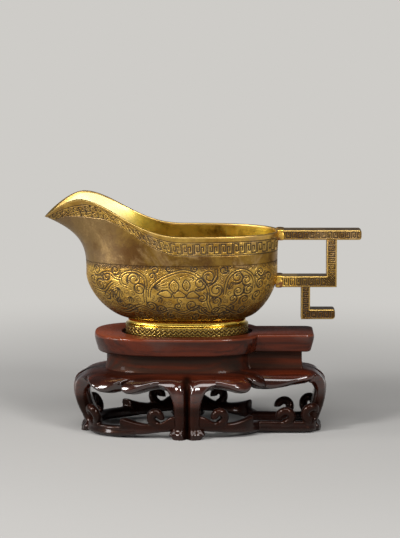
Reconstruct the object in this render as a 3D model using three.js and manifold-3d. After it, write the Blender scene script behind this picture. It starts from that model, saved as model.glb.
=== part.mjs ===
// A gilt bronze pouring boat with a handle of square bars, standing in its carved hardwood stand.
// Millimetres, +Z up. The spout points to -X, the handle to +X, and the stand's feet rest on Z = 0.
import * as THREE from 'three';
import { mergeVertices } from 'three/addons/utils/BufferGeometryUtils.js';
import Module from 'manifold-3d';

const wasm = await Module();
wasm.setup();

// Clearances
const SEAT_GAP = 0.3;              // between pieces that are brazed, tenoned or glued together
const RECESS_CLEARANCE = 2;        // between the boat's foot and the wall of its recess

// Bowl. Lengths run from the foot's centre, heights from the top of the stand's board
const WALL = 1.6;
const SPOUT_REACH = 71;            // foot centre to the tip of the spout
const SPOUT_TIP_HEIGHT = 57.5;
const CREST_REACH = 52.7;          // where the rim stands highest, on the way to the spout
const CREST_HEIGHT = 68.1;
const RIM_REACH = 46.2;            // rim at the handle end
const RIM_HALF_WIDTH = 26.7;
const RIM_HEIGHT = 50.4;
const BELLY_SPOUT_REACH = 50.3;
const BELLY_HANDLE_REACH = 45.2;
const BELLY_HALF_WIDTH = 27;
const BELLY_HEIGHT = 29;           // level of the widest oval
const BOWL_BOTTOM = 7.5;           // underside of the bowl, where the foot ring is brazed on
const LIP_ROUND = 0.4;             // the lip's rounding above the rim line
const RIM_SWEEP = 1.3;             // power of the rim's climb: higher stays level for longer
const SPOUT_DROOP = 1.65;          // power of the rim's fall from its crest to the tip
const BELLY_ROUND = 1.25;          // power of the round between foot and belly
const NECK_FLARE = 3.5;            // power of the neck's flare: higher stays upright for longer
const TIP_SLANT = 1.5;             // the wall measures this much longer across the slanting tip

// Foot ring
const FOOT_HALF_LENGTH = 30.7;     // over the engraved lower band
const FOOT_HALF_WIDTH = 19;
const FOOT_BAND_STEP = 1;          // the lower band stands proud of the polished upper band
const FOOT_BAND_TOP = 3.8;
const FOOT_THICKNESS = 3.2;
const FOOT_HOLLOW = 0.5;           // depth of the polished hollow band
const FOOT_FILLET = 0.7;           // upright strip above the hollow band
const FOOT_SLOPE = 0.3;            // fall of the lower band's upper edge
const FOOT_EDGE = 0.5;             // chamfer along the underside

// Handle
const BAR_DEPTH = 10;              // along Y
const BAR_EDGE = 0.5;              // worn edges
const BAR_CORNER = 1.5;            // rounded free corners
const TOP_BAR_HEIGHT = 5;
const TOP_BAR_TOP = 51.3;
const TOP_BAR_REACH = 87;
const UPRIGHT_REACH = 74.75;
const UPRIGHT_WIDTH = 5.15;
const LOWER_BAR_TOP = 28.1;
const LOWER_BAR_HEIGHT = 5.6;
const DROP_BAR_START = 57;
const DROP_BAR_WIDTH = 4.5;
const HOOK_REACH = 74;
const HOOK_HEIGHT = 5;
const HOOK_BOTTOM = 6.3;
const BRAZE_LENGTH = 3.5;
const BRAZE_THICKNESS = 1;

// Stand: board and waist
const STAND_HEIGHT = 50;           // top of the board
const BOARD_THICKNESS = 9;
const BOARD_ROUND = 1.2;           // rounded upper edge
const BOARD_UNDERCUT = 2.2;        // the edge draws in towards its lower side
const RECESS_DEPTH = 2;
const BOARD_MARGIN_SPOUT = 13.5;   // board beyond the recess, at the spout end
const BOARD_MARGIN_HANDLE = 4.3;   // the oval beyond the recess, at the handle end
const BOARD_MARGIN_SIDE = 7;
const TONGUE_REACH = 63.4;
const TONGUE_HALF_DEPTH = 13.7;
const TONGUE_CORNER = 4.5;         // rounded corners of the tongue, in plan
const WAIST_INSET = 6;             // the waist stands back from the board's edge
const WAIST_THICKNESS = 5;
const WAIST_FLARE = 0.8;           // small spread at the waist's lower edge
const TENON_WIDTH = 2;             // tongue along the top of the waist, in a groove under the board
const TENON_HEIGHT = 2;

// Stand: legs, aprons and rails
const BASE_HEIGHT = 32;            // flat top of the legs and aprons, under the waist
const BULGE_HEIGHT = 21.5;
const BULGE_SPOUT = 15.8;          // how far the bulge stands out from the waist
const BULGE_HANDLE = 11.6;
const BULGE_SIDE = 11;
const BULGE_TONGUE = 10;
const BULGE_CORNER = 9;            // rounded corners of the bulge round the tongue
const ANKLE_HEIGHT = 4;
const ANKLE_TUCK = 0.36;           // share of the bulge that the ankle draws in
const FOOT_FLARE = 0.12;           // share of the bulge that the toe turns out again
const SHELL_THICKNESS = 5;
const SHOULDER_DROP = 1.6;         // fall of the shoulder's round, half way out
const LEG_SHOULDER = 15;           // half width of a leg between the aprons, where its arches end
const LEG_WAIST = 7;               // half width at its slimmest
const LEG_TOE = 10;                // half width over the curled toes
const TOE_HEIGHT = 2.8;            // level where the toes are widest
const TOE_SPREAD = 2.5;            // how far up and down the toes' curl reaches
const LEG_LOBE = 0.9;              // swell of the two lobes
const LEG_LOBE_OFFSET = 3.4;       // from a leg's middle to each lobe
const LEG_LOBE_WIDTH = 2.2;
const LEG_GROOVE = 1.3;            // depth of the channel between the lobes
const LEG_GROOVE_WIDTH = 1.4;
const LOBE_FADE = 0.25;            // share of the leg, down from the shoulder, in which the lobes rise
const ARCH_SPRING = 15;            // level where the arch beside a leg starts
const ARCH_HEIGHT = 25.2;          // its crown, where leg and apron meet
const LOBE_DROP = 1.7;             // the apron's lobes hang below the arch
const NOTCH_RISE = 2.4;            // the notch between two lobes stands above the arch
const NOTCH_POINT = 4;             // power of the notch: higher is more slender
const LOBE_SKEW = 1.35;            // moves each lobe's lowest place towards the notch
const NOTCH_DISTANCE = 36;         // from the middle of a side leg to the pointed notch
const RAIL_DEPTH = 5.2;
const RAIL_ROOT = 3;               // a rail is this much deeper where it leaves a side leg
const RAIL_ROOT_LENGTH = 9;        // length in which it grows slimmer
const RAIL_LIFT_END = 0.8;         // rail above the floor, beside an end leg
const RAIL_LIFT_SIDE = 4;          // rail above the floor, beside a side leg
const RAIL_FALL = 0.625;           // share of the span in which the rail comes down
const RAIL_CREST = 4;              // height of the pointed crest on a rail
const CREST_START = 23;            // from the middle of a side leg to where the crest starts to rise
const CREST_TIP = 37;              // and to its tip
const CREST_HOLLOW = 1.5;          // power of the crest's rise: higher is more hollow
const SCROLL_DISTANCE = 17;        // from a leg's middle to the scroll beside it
const HOOK_DISTANCE = 32;          // from the handle end leg to one more scroll on the longer rails
const SCROLL_LIFT = 1;             // a scroll stands this much above the rail's top
const SCROLL_LIFT_END = 3;         // and this much beside an end leg
const SCROLL_RADIUS = 3.9;         // outer radius of a scroll
const CORNER_STRETCH = 1.7;        // a scroll on the tongue's tight corner is drawn this much longer
const SCROLL_ROD = 2.1;            // half thickness of a scroll's rod
const SCROLL_TURN = 1.55;          // turn of a scroll, in half circles
const SCROLL_CLOSING = 0.45;       // share of its radius that a scroll loses on the way

// Facets
const BOWL_COLUMNS = 52;
const BOWL_CROWDING = 1.35;        // power that brings the bowl's rings closer towards the rim
const PART_COLUMNS = [1, 3, 3, 9, 11];     // along the five parts of half the stand's outline
const APRON_COLUMNS = 18;
const APRON_ROWS = 5;
const LEG_COLUMNS = 12;
const LEG_ROWS = 9;                // below the aprons
const LEG_CROWDING = 1.5;          // power that brings a leg's columns closer to its channel
const LEG_ROW_CROWDING = 1.2;      // power that brings its rows closer to the arch
const RAIL_COLUMNS = 20;
const RAIL_ROWS = 2;
const SCROLL_STEPS = 12;

// Materials
const GILT = { color: 0x9c7c34, metalness: 1, roughness: 0.34 };
const BRIGHT_GILT = { color: 0xc9a43c, metalness: 1, roughness: 0.2 };
const BRAZE = { color: 0xc7a545, metalness: 1, roughness: 0.45 };
const HARDWOOD = { color: 0x4a1c10, metalness: 0, roughness: 0.28 };

const { PI } = Math;
const mix = (from, to, share) => from + (to - from) * share;
const clamp01 = (value) => Math.min(1, Math.max(0, value));
const smooth = (value) => clamp01(value) ** 2 * (3 - 2 * clamp01(value));

// Joins points and triangles into one closed geometry whose faces point outwards.
function closedGeometry(points, triangles) {
  const positions = points.flatMap((point) => [point.x, point.y, point.z]);
  let volume = 0;
  for (const [a, b, c] of triangles) {
    volume += points[a].dot(new THREE.Vector3().crossVectors(points[b], points[c]));
  }
  const outward = volume > 0 ? triangles : triangles.map(([a, b, c]) => [a, c, b]);
  const geometry = new THREE.BufferGeometry();
  geometry.setAttribute('position', new THREE.Float32BufferAttribute(positions, 3));
  geometry.setIndex(outward.flat());
  return geometry;
}

// Skins a row of equal rings. Without a loop, each end is closed by a fan round its given centre.
function loft(rings, ends) {
  const count = rings[0].length;
  const points = rings.flat();
  const triangles = [];
  const steps = ends ? rings.length - 1 : rings.length;
  for (let row = 0; row < steps; row += 1) {
    const next = (row + 1) % rings.length;
    for (let i = 0; i < count; i += 1) {
      const j = (i + 1) % count;
      const [a, b] = [row * count + i, row * count + j];
      const [c, d] = [next * count + j, next * count + i];
      triangles.push([a, b, c], [a, c, d]);
    }
  }
  if (ends) {
    const last = (rings.length - 1) * count;
    points.push(...ends);
    for (let i = 0; i < count; i += 1) {
      const j = (i + 1) % count;
      triangles.push([points.length - 2, j, i], [points.length - 1, last + i, last + j]);
    }
  }
  return closedGeometry(points, triangles);
}

// Closes two facing grids of points, [across][down], into a curved slab.
function slab(outer, inner) {
  const across = outer.length - 1;
  const down = outer[0].length - 1;
  const stride = down + 1;
  const points = [...outer.flat(), ...inner.flat()];
  const half = outer.length * stride;
  const triangles = [];
  const quad = (a, b, c, d) => triangles.push([a, b, c], [a, c, d]);
  const at = (i, j) => i * stride + j;
  for (let i = 0; i < across; i += 1) {
    for (let j = 0; j < down; j += 1) {
      quad(at(i, j), at(i + 1, j), at(i + 1, j + 1), at(i, j + 1));
      quad(half + at(i, j), half + at(i, j + 1), half + at(i + 1, j + 1), half + at(i + 1, j));
    }
    quad(at(i, 0), half + at(i, 0), half + at(i + 1, 0), at(i + 1, 0));
    quad(at(i, down), at(i + 1, down), half + at(i + 1, down), half + at(i, down));
  }
  for (let j = 0; j < down; j += 1) {
    quad(at(0, j), at(0, j + 1), half + at(0, j + 1), half + at(0, j));
    quad(at(across, j), half + at(across, j), half + at(across, j + 1), at(across, j + 1));
  }
  return closedGeometry(points, triangles);
}

function solidOf(geometry) {
  const bare = geometry.clone();
  bare.deleteAttribute('normal');
  bare.deleteAttribute('uv');
  const merged = mergeVertices(bare, 1e-4);
  return new wasm.Manifold(new wasm.Mesh({
    numProp: 3,
    vertProperties: new Float32Array(merged.attributes.position.array),
    triVerts: new Uint32Array(merged.index.array),
  }));
}

function geometryOf(solid) {
  const mesh = solid.getMesh();
  const geometry = new THREE.BufferGeometry();
  geometry.setAttribute('position', new THREE.BufferAttribute(mesh.vertProperties, 3));
  geometry.setIndex(new THREE.BufferAttribute(mesh.triVerts, 1));
  return geometry;
}

function piece(name, geometry, finish) {
  const mesh = new THREE.Mesh(geometry, new THREE.MeshStandardMaterial(finish));
  mesh.name = name;
  return mesh;
}

// Ovals of the boat. Each quarter runs from an end to the widest place, with points closer at the ends.
// along and across are the powers of the plan curve: y = width * (1 - (x / reach) ^ along) ^ across.
function boatOval(spoutEnd, handleEnd, halfWidth, heightAt) {
  const quarter = BOWL_COLUMNS / 4;
  const ring = [];
  for (let i = 0; i < BOWL_COLUMNS; i += 1) {
    const turn = i / quarter;
    const share = Math.cos((turn * PI) / 2);
    const end = share > 0 ? handleEnd : spoutEnd;
    const across = Math.max(0, 1 - Math.abs(share) ** end.along) ** end.across;
    const side = turn < 2 ? 1 : -1;
    const x = Math.sign(share) * Math.abs(share) * end.reach;
    ring.push(new THREE.Vector3(x, side * halfWidth * across, heightAt(x)));
  }
  return ring;
}

const ROUND_END = { along: 2.3, across: 1 / 2.3 };
const SPOUT_END = { along: 2.6, across: 0.65 };

// The rim is level at the handle, climbs to its crest in an S-curve and falls to the spout's tip.
function rimHeight(x, spoutReach) {
  if (x >= 0) {
    return RIM_HEIGHT;
  }
  if (x > -CREST_REACH) {
    return mix(RIM_HEIGHT, CREST_HEIGHT, smooth((-x / CREST_REACH) ** RIM_SWEEP));
  }
  const fall = clamp01((-x - CREST_REACH) / (spoutReach - CREST_REACH));
  return mix(CREST_HEIGHT, SPOUT_TIP_HEIGHT, fall ** SPOUT_DROOP);
}

// Rings of one skin of the bowl, from its bottom oval through the belly to the rim, drawn in by inset.
function bowlSkin(inset, bottom, lowerSteps, upperSteps) {
  const footLength = FOOT_HALF_LENGTH - FOOT_BAND_STEP + SEAT_GAP - inset;
  const footWidth = FOOT_HALF_WIDTH - FOOT_BAND_STEP + SEAT_GAP - inset;
  const tip = SPOUT_REACH - inset * TIP_SLANT;
  const foot = boatOval(
    { reach: footLength, ...ROUND_END },
    { reach: footLength, ...ROUND_END },
    footWidth,
    () => bottom,
  );
  const belly = boatOval(
    { reach: BELLY_SPOUT_REACH - inset, ...ROUND_END },
    { reach: BELLY_HANDLE_REACH - inset, ...ROUND_END },
    BELLY_HALF_WIDTH - inset,
    () => BELLY_HEIGHT,
  );
  const rim = boatOval(
    { reach: tip, ...SPOUT_END },
    { reach: RIM_REACH - inset, ...ROUND_END },
    RIM_HALF_WIDTH - inset,
    (x) => rimHeight(x, tip),
  );
  const rings = [];
  for (let step = 0; step < lowerSteps; step += 1) {
    const angle = (step / lowerSteps) * (PI / 2);
    const outward = Math.sin(angle) ** BELLY_ROUND;
    const upward = 1 - Math.cos(angle) ** BELLY_ROUND;
    rings.push(foot.map((point, i) => new THREE.Vector3(
      mix(point.x, belly[i].x, outward),
      mix(point.y, belly[i].y, outward),
      mix(bottom, BELLY_HEIGHT, upward),
    )));
  }
  for (let step = 0; step <= upperSteps; step += 1) {
    const upward = 1 - (1 - step / upperSteps) ** BOWL_CROWDING;
    const outward = upward ** NECK_FLARE;
    rings.push(belly.map((point, i) => new THREE.Vector3(
      mix(point.x, rim[i].x, outward),
      mix(point.y, rim[i].y, outward),
      mix(BELLY_HEIGHT, rim[i].z, upward),
    )));
  }
  return rings;
}

function bowlGeometry() {
  const outside = bowlSkin(0, BOWL_BOTTOM, 6, 9);
  const inside = bowlSkin(WALL, BOWL_BOTTOM + WALL, 5, 8);
  const lip = outside.at(-1).map((point, i) => {
    const middle = point.clone().lerp(inside.at(-1)[i], 0.5);
    middle.z += LIP_ROUND;
    return middle;
  });
  const ends = [new THREE.Vector3(0, 0, BOWL_BOTTOM), new THREE.Vector3(0, 0, BOWL_BOTTOM + WALL)];
  return loft([...outside, lip, ...inside.reverse()], ends);
}

// The bowl's outside as a plain body, swollen by the seat gap: cutting with it leaves that gap.
function bowlCutter() {
  const rings = bowlSkin(-SEAT_GAP, BOWL_BOTTOM - SEAT_GAP, 6, 9);
  const top = RIM_HEIGHT + TOP_BAR_HEIGHT;
  const lid = rings.at(-1).map((point) => new THREE.Vector3(point.x, point.y, Math.max(point.z, top)));
  const ends = [new THREE.Vector3(0, 0, BOWL_BOTTOM - SEAT_GAP), new THREE.Vector3(0, 0, top)];
  return solidOf(loft([...rings, lid], ends));
}

const FOOT_TOP = BOWL_BOTTOM - SEAT_GAP;
const FOOT_BOTTOM = SEAT_GAP - RECESS_DEPTH;

// Foot ring: a profile of [distance out, height] carried round the foot's oval.
function footGeometry() {
  const hollow = (FOOT_TOP + FOOT_BAND_TOP) / 2;
  const profile = [
    [0, FOOT_TOP],
    [0, FOOT_TOP - FOOT_FILLET],
    [-FOOT_HOLLOW, hollow],
    [0, FOOT_BAND_TOP + FOOT_SLOPE],
    [FOOT_BAND_STEP, FOOT_BAND_TOP],
    [FOOT_BAND_STEP, FOOT_BOTTOM + FOOT_EDGE],
    [FOOT_BAND_STEP - FOOT_EDGE, FOOT_BOTTOM],
    [FOOT_BAND_STEP - FOOT_THICKNESS, FOOT_BOTTOM],
    [FOOT_BAND_STEP - FOOT_THICKNESS, FOOT_TOP],
  ];
  const rings = profile.map(([out, height]) => {
    const end = { reach: FOOT_HALF_LENGTH - FOOT_BAND_STEP + out, ...ROUND_END };
    return boatOval(end, end, FOOT_HALF_WIDTH - FOOT_BAND_STEP + out, () => height);
  });
  return loft(rings);
}

// A handle bar: an outline in X and Z, given as corners [x, z, radius], carried through the bar's depth.
function barGeometry(corners) {
  const shape = new THREE.Shape();
  corners.forEach(([x, z, radius], i) => {
    const corner = new THREE.Vector2(x, z);
    const [beforeX, beforeZ] = corners.at(i - 1);
    const [afterX, afterZ] = corners[(i + 1) % corners.length];
    const before = new THREE.Vector2(beforeX, beforeZ).sub(corner).setLength(radius).add(corner);
    const after = new THREE.Vector2(afterX, afterZ).sub(corner).setLength(radius).add(corner);
    if (i === 0) {
      shape.moveTo(before.x, before.y);
    } else {
      shape.lineTo(before.x, before.y);
    }
    if (radius > 0) {
      shape.quadraticCurveTo(x, z, after.x, after.y);
    }
  });
  const geometry = new THREE.ExtrudeGeometry(shape, {
    depth: BAR_DEPTH - 2 * BAR_EDGE,
    bevelThickness: BAR_EDGE,
    bevelSize: BAR_EDGE,
    bevelOffset: -BAR_EDGE,
    bevelSegments: 1,
    curveSegments: 4,
  });
  geometry.rotateX(PI / 2);
  geometry.translate(0, BAR_DEPTH / 2 - BAR_EDGE, 0);
  return geometry;
}

const TOP_BAR_UNDERSIDE = TOP_BAR_TOP - TOP_BAR_HEIGHT;
const LOWER_BAR_UNDERSIDE = LOWER_BAR_TOP - LOWER_BAR_HEIGHT;
const UPRIGHT_START = UPRIGHT_REACH - UPRIGHT_WIDTH;
const DROP_BAR_END = DROP_BAR_START + DROP_BAR_WIDTH;
const HOOK_TOP = HOOK_BOTTOM + HOOK_HEIGHT;
const TOP_BAR_ROOT = Math.max(RIM_REACH, BELLY_HANDLE_REACH) + SEAT_GAP;
const LOWER_BAR_ROOT = BELLY_HANDLE_REACH + SEAT_GAP;

// Braze saddle: a thick U of metal under the root of a bar, shaped to the bowl's wall.
function brazeGeometry(root, underside, top, cutter) {
  const inner = BAR_DEPTH / 2 + SEAT_GAP;
  const outer = inner + BRAZE_THICKNESS;
  const floor = underside - SEAT_GAP;
  const shape = new THREE.Shape();
  shape.moveTo(-outer, top);
  shape.lineTo(-outer, floor);
  shape.quadraticCurveTo(-outer, floor - BRAZE_THICKNESS, -inner, floor - BRAZE_THICKNESS);
  shape.lineTo(inner, floor - BRAZE_THICKNESS);
  shape.quadraticCurveTo(outer, floor - BRAZE_THICKNESS, outer, floor);
  shape.lineTo(outer, top);
  shape.lineTo(inner, top);
  shape.lineTo(inner, floor);
  shape.lineTo(-inner, floor);
  shape.lineTo(-inner, top);
  shape.closePath();
  const reachIn = BAR_DEPTH / 2;
  const geometry = new THREE.ExtrudeGeometry(shape, {
    depth: reachIn + BRAZE_LENGTH,
    bevelEnabled: false,
    curveSegments: 3,
  });
  geometry.rotateX(PI / 2);
  geometry.rotateZ(PI / 2);
  geometry.translate(root - reachIn, 0, 0);
  return geometryOf(solidOf(geometry).subtract(cutter));
}

function boat() {
  const group = new THREE.Group();
  const cutter = bowlCutter();
  const slack = SEAT_GAP / 2;
  const bars = {
    handle_top_bar: [
      [TOP_BAR_ROOT, TOP_BAR_UNDERSIDE, 0],
      [TOP_BAR_REACH, TOP_BAR_UNDERSIDE, BAR_CORNER],
      [TOP_BAR_REACH, TOP_BAR_TOP, BAR_CORNER],
      [TOP_BAR_ROOT, TOP_BAR_TOP, 0],
    ],
    handle_upright: [
      [UPRIGHT_START, TOP_BAR_UNDERSIDE - SEAT_GAP, 0],
      [UPRIGHT_START, LOWER_BAR_TOP + slack, 0],
      [UPRIGHT_REACH, LOWER_BAR_UNDERSIDE + slack, 0],
      [UPRIGHT_REACH, TOP_BAR_UNDERSIDE - SEAT_GAP, 0],
    ],
    handle_lower_bar: [
      [LOWER_BAR_ROOT, LOWER_BAR_UNDERSIDE, 0],
      [UPRIGHT_REACH, LOWER_BAR_UNDERSIDE - slack, 0],
      [UPRIGHT_START, LOWER_BAR_TOP - slack, 0],
      [LOWER_BAR_ROOT, LOWER_BAR_TOP, 0],
    ],
    handle_drop_bar: [
      [DROP_BAR_START, LOWER_BAR_UNDERSIDE - 2 * SEAT_GAP, 0],
      [DROP_BAR_START, HOOK_BOTTOM + slack, 0],
      [DROP_BAR_END, HOOK_TOP + slack, 0],
      [DROP_BAR_END, LOWER_BAR_UNDERSIDE - 2 * SEAT_GAP, 0],
    ],
    handle_hook_bar: [
      [DROP_BAR_START, HOOK_BOTTOM - slack, 0],
      [HOOK_REACH, HOOK_BOTTOM - slack, BAR_CORNER],
      [HOOK_REACH, HOOK_TOP - slack, BAR_CORNER],
      [DROP_BAR_END, HOOK_TOP - slack, 0],
    ],
  };
  group.add(piece('boat_bowl', bowlGeometry(), GILT));
  group.add(piece('foot_ring', footGeometry(), BRIGHT_GILT));
  for (const [name, corners] of Object.entries(bars)) {
    group.add(piece(name, barGeometry(corners), GILT));
  }
  const upperTop = TOP_BAR_TOP - TOP_BAR_HEIGHT / 2;
  const lowerTop = LOWER_BAR_TOP - LOWER_BAR_HEIGHT / 2;
  const upper = brazeGeometry(TOP_BAR_ROOT, TOP_BAR_UNDERSIDE, upperTop, cutter);
  const lower = brazeGeometry(LOWER_BAR_ROOT, LOWER_BAR_UNDERSIDE, lowerTop, cutter);
  group.add(piece('upper_braze', upper, BRAZE));
  group.add(piece('lower_braze', lower, BRAZE));
  return group;
}

// Plan of the stand, measured from the foot's centre: a full oval with a tongue under the handle.
const BOARD_PLAN = {
  spout: FOOT_HALF_LENGTH + RECESS_CLEARANCE + BOARD_MARGIN_SPOUT,
  handle: FOOT_HALF_LENGTH + RECESS_CLEARANCE + BOARD_MARGIN_HANDLE,
  side: FOOT_HALF_WIDTH + RECESS_CLEARANCE + BOARD_MARGIN_SIDE,
  tongue: TONGUE_REACH,
  tongueSide: TONGUE_HALF_DEPTH,
  corner: TONGUE_CORNER,
};
const OVAL_POWER = 2.8;
const SMALLEST_CORNER = 0.2;

// A plan moved outwards all round by the same amount.
function grown(plan, amount) {
  const moved = Object.entries(plan).map(([key, value]) => [key, value + amount]);
  return { ...Object.fromEntries(moved), corner: Math.max(SMALLEST_CORNER, plan.corner + amount) };
}

function mixedPlan(from, to, share) {
  return Object.fromEntries(Object.keys(from).map((key) => [key, mix(from[key], to[key], share)]));
}

function ovalSpot(plan, angle) {
  const along = Math.cos(angle);
  const across = Math.sin(angle);
  const reach = along < 0 ? plan.spout : plan.handle;
  const radius = ((Math.abs(along) / reach) ** OVAL_POWER + (across / plan.side) ** OVAL_POWER)
    ** (-1 / OVAL_POWER);
  return new THREE.Vector2(radius * along, radius * across);
}

// Where the tongue's side runs into the oval.
function tongueJoin(plan) {
  const x = plan.handle * (1 - (plan.tongueSide / plan.side) ** OVAL_POWER) ** (1 / OVAL_POWER);
  return new THREE.Vector2(x, plan.tongueSide);
}

// Half an outline in five parts, from the handle end to the spout end. Each takes a share from 0 to 1.
const outlineParts = [
  (plan, share) => new THREE.Vector2(plan.tongue, share * (plan.tongueSide - plan.corner)),
  (plan, share) => new THREE.Vector2(
    plan.tongue - plan.corner * (1 - Math.cos((share * PI) / 2)),
    plan.tongueSide - plan.corner * (1 - Math.sin((share * PI) / 2)),
  ),
  (plan, share) => new THREE.Vector2(
    mix(plan.tongue - plan.corner, tongueJoin(plan).x, share),
    plan.tongueSide,
  ),
  (plan, share) => ovalSpot(plan, mix(tongueJoin(plan).angle(), PI / 2, share)),
  (plan, share) => ovalSpot(plan, mix(PI / 2, PI, share)),
];

function planPoint(plan, { part, share, side }, height) {
  const spot = outlineParts[part](plan, share);
  return new THREE.Vector3(spot.x, side * spot.y, height);
}

const WAIST_PLAN = grown(BOARD_PLAN, -WAIST_INSET);
const BULGE_PLAN = {
  spout: WAIST_PLAN.spout + BULGE_SPOUT,
  handle: WAIST_PLAN.handle + BULGE_SIDE,
  side: WAIST_PLAN.side + BULGE_SIDE,
  tongue: WAIST_PLAN.tongue + BULGE_HANDLE,
  tongueSide: WAIST_PLAN.tongueSide + BULGE_TONGUE,
  corner: BULGE_CORNER,
};

// Lengths along half the bulge's outline, with the place on the outline that each belongs to.
const PART_STEPS = 80;
const outlineMarks = [{ length: 0, part: 0, share: 0 }];
outlineParts.forEach((partSpot, part) => {
  for (let i = 1; i <= PART_STEPS; i += 1) {
    const share = i / PART_STEPS;
    const step = partSpot(BULGE_PLAN, share).distanceTo(partSpot(BULGE_PLAN, share - 1 / PART_STEPS));
    outlineMarks.push({ length: outlineMarks.at(-1).length + step, part, share });
  }
});
const HALF_OUTLINE = outlineMarks.at(-1).length;
const SIDE_LEG = outlineMarks.at(-1 - PART_STEPS).length;

// Place on the outline at a length from the handle end: positive on the back, negative on the front.
function placeAt(length) {
  const side = Math.sin((length / HALF_OUTLINE) * PI) < 0 ? -1 : 1;
  const folded = Math.abs(length) % (2 * HALF_OUTLINE);
  const away = folded > HALF_OUTLINE ? 2 * HALF_OUTLINE - folded : folded;
  const next = Math.max(1, outlineMarks.findIndex((mark) => mark.length >= away - 1e-9));
  const mark = outlineMarks[next];
  const before = outlineMarks[next - 1].length;
  const back = (mark.length - away) / (mark.length - before) / PART_STEPS;
  return { part: mark.part, share: Math.max(0, mark.share - back), side };
}

// Columns of the closed rings, with one on every end of a part.
const halfColumns = outlineParts.flatMap((_, part) => Array.from(
  { length: PART_COLUMNS[part] },
  (__, i) => ({ part, share: i / PART_COLUMNS[part] }),
));
const lastColumn = { part: outlineParts.length - 1, share: 1, side: 1 };
const columns = [
  ...halfColumns.map((place) => ({ ...place, side: 1 })),
  lastColumn,
  ...halfColumns.slice(1).reverse().map((place) => ({ ...place, side: -1 })),
];

function planRing(plan, height) {
  return columns.map((place) => planPoint(plan, place, height));
}

const BOARD_UNDERSIDE = STAND_HEIGHT - BOARD_THICKNESS;
const TENON_OUTSIDE = (TENON_WIDTH - WAIST_THICKNESS) / 2;

function boardGeometry() {
  const footEnd = FOOT_HALF_LENGTH + RECESS_CLEARANCE;
  const footSide = FOOT_HALF_WIDTH + RECESS_CLEARANCE;
  const recess = (height) => planRing(BOARD_PLAN, height).map((edge) => {
    const power = ROUND_END.along;
    const angle = Math.atan2(edge.y, edge.x);
    const along = Math.abs(Math.cos(angle)) / footEnd;
    const across = Math.abs(Math.sin(angle)) / footSide;
    const radius = (along ** power + across ** power) ** (-1 / power);
    return new THREE.Vector3(radius * Math.cos(angle), radius * Math.sin(angle), height);
  });
  const grooveOut = TENON_OUTSIDE + SEAT_GAP;
  const grooveIn = TENON_OUTSIDE - TENON_WIDTH - SEAT_GAP;
  const grooveTop = BOARD_UNDERSIDE + TENON_HEIGHT + SEAT_GAP;
  const floor = STAND_HEIGHT - RECESS_DEPTH;
  const middle = BOARD_UNDERSIDE + BOARD_THICKNESS * 0.45;
  const rings = [
    recess(floor),
    recess(STAND_HEIGHT),
    planRing(grown(BOARD_PLAN, -BOARD_ROUND), STAND_HEIGHT),
    planRing(grown(BOARD_PLAN, -BOARD_ROUND * 0.3), STAND_HEIGHT - BOARD_ROUND * 0.3),
    planRing(BOARD_PLAN, STAND_HEIGHT - BOARD_ROUND),
    planRing(grown(BOARD_PLAN, -BOARD_UNDERCUT * 0.15), middle),
    planRing(grown(BOARD_PLAN, -BOARD_UNDERCUT), BOARD_UNDERSIDE),
    planRing(grown(WAIST_PLAN, grooveOut), BOARD_UNDERSIDE),
    planRing(grown(WAIST_PLAN, grooveOut), grooveTop),
    planRing(grown(WAIST_PLAN, grooveIn), grooveTop),
    planRing(grown(WAIST_PLAN, grooveIn), BOARD_UNDERSIDE),
  ];
  return loft(rings, [new THREE.Vector3(0, 0, floor), new THREE.Vector3(0, 0, BOARD_UNDERSIDE)]);
}

function waistGeometry() {
  const top = BOARD_UNDERSIDE - SEAT_GAP;
  const bottom = BASE_HEIGHT + SEAT_GAP;
  const rings = [
    planRing(grown(WAIST_PLAN, WAIST_FLARE), bottom),
    planRing(grown(WAIST_PLAN, WAIST_FLARE * 0.4), mix(bottom, top, 0.15)),
    planRing(WAIST_PLAN, mix(bottom, top, 0.35)),
    planRing(WAIST_PLAN, top),
    planRing(grown(WAIST_PLAN, TENON_OUTSIDE), top),
    planRing(grown(WAIST_PLAN, TENON_OUTSIDE), top + TENON_HEIGHT),
    planRing(grown(WAIST_PLAN, TENON_OUTSIDE - TENON_WIDTH), top + TENON_HEIGHT),
    planRing(grown(WAIST_PLAN, TENON_OUTSIDE - TENON_WIDTH), top),
    planRing(grown(WAIST_PLAN, -WAIST_THICKNESS), top),
    planRing(grown(WAIST_PLAN, -WAIST_THICKNESS), bottom),
  ];
  return loft(rings);
}

// Section of the bulging base: share of the bulge against height, from under the waist to the floor.
const SEAT_SHARE = -WAIST_THICKNESS / BULGE_SIDE;
const SKIN_SHARE = SHELL_THICKNESS / BULGE_SIDE;
const ANKLE_SHARE = 1 - ANKLE_TUCK;
const outerSection = new THREE.SplineCurve([
  new THREE.Vector2(SEAT_SHARE, BASE_HEIGHT),
  new THREE.Vector2(SEAT_SHARE / 2, BASE_HEIGHT),
  new THREE.Vector2(0.12, BASE_HEIGHT),
  new THREE.Vector2(0.6, BASE_HEIGHT - SHOULDER_DROP),
  new THREE.Vector2(0.92, mix(BASE_HEIGHT, BULGE_HEIGHT, 0.5)),
  new THREE.Vector2(1, BULGE_HEIGHT),
  new THREE.Vector2(mix(1, ANKLE_SHARE, 0.3), mix(BULGE_HEIGHT, ANKLE_HEIGHT, 0.45)),
  new THREE.Vector2(mix(1, ANKLE_SHARE, 0.85), mix(BULGE_HEIGHT, ANKLE_HEIGHT, 0.85)),
  new THREE.Vector2(ANKLE_SHARE, ANKLE_HEIGHT),
  new THREE.Vector2(ANKLE_SHARE + FOOT_FLARE, 0),
]);
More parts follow.
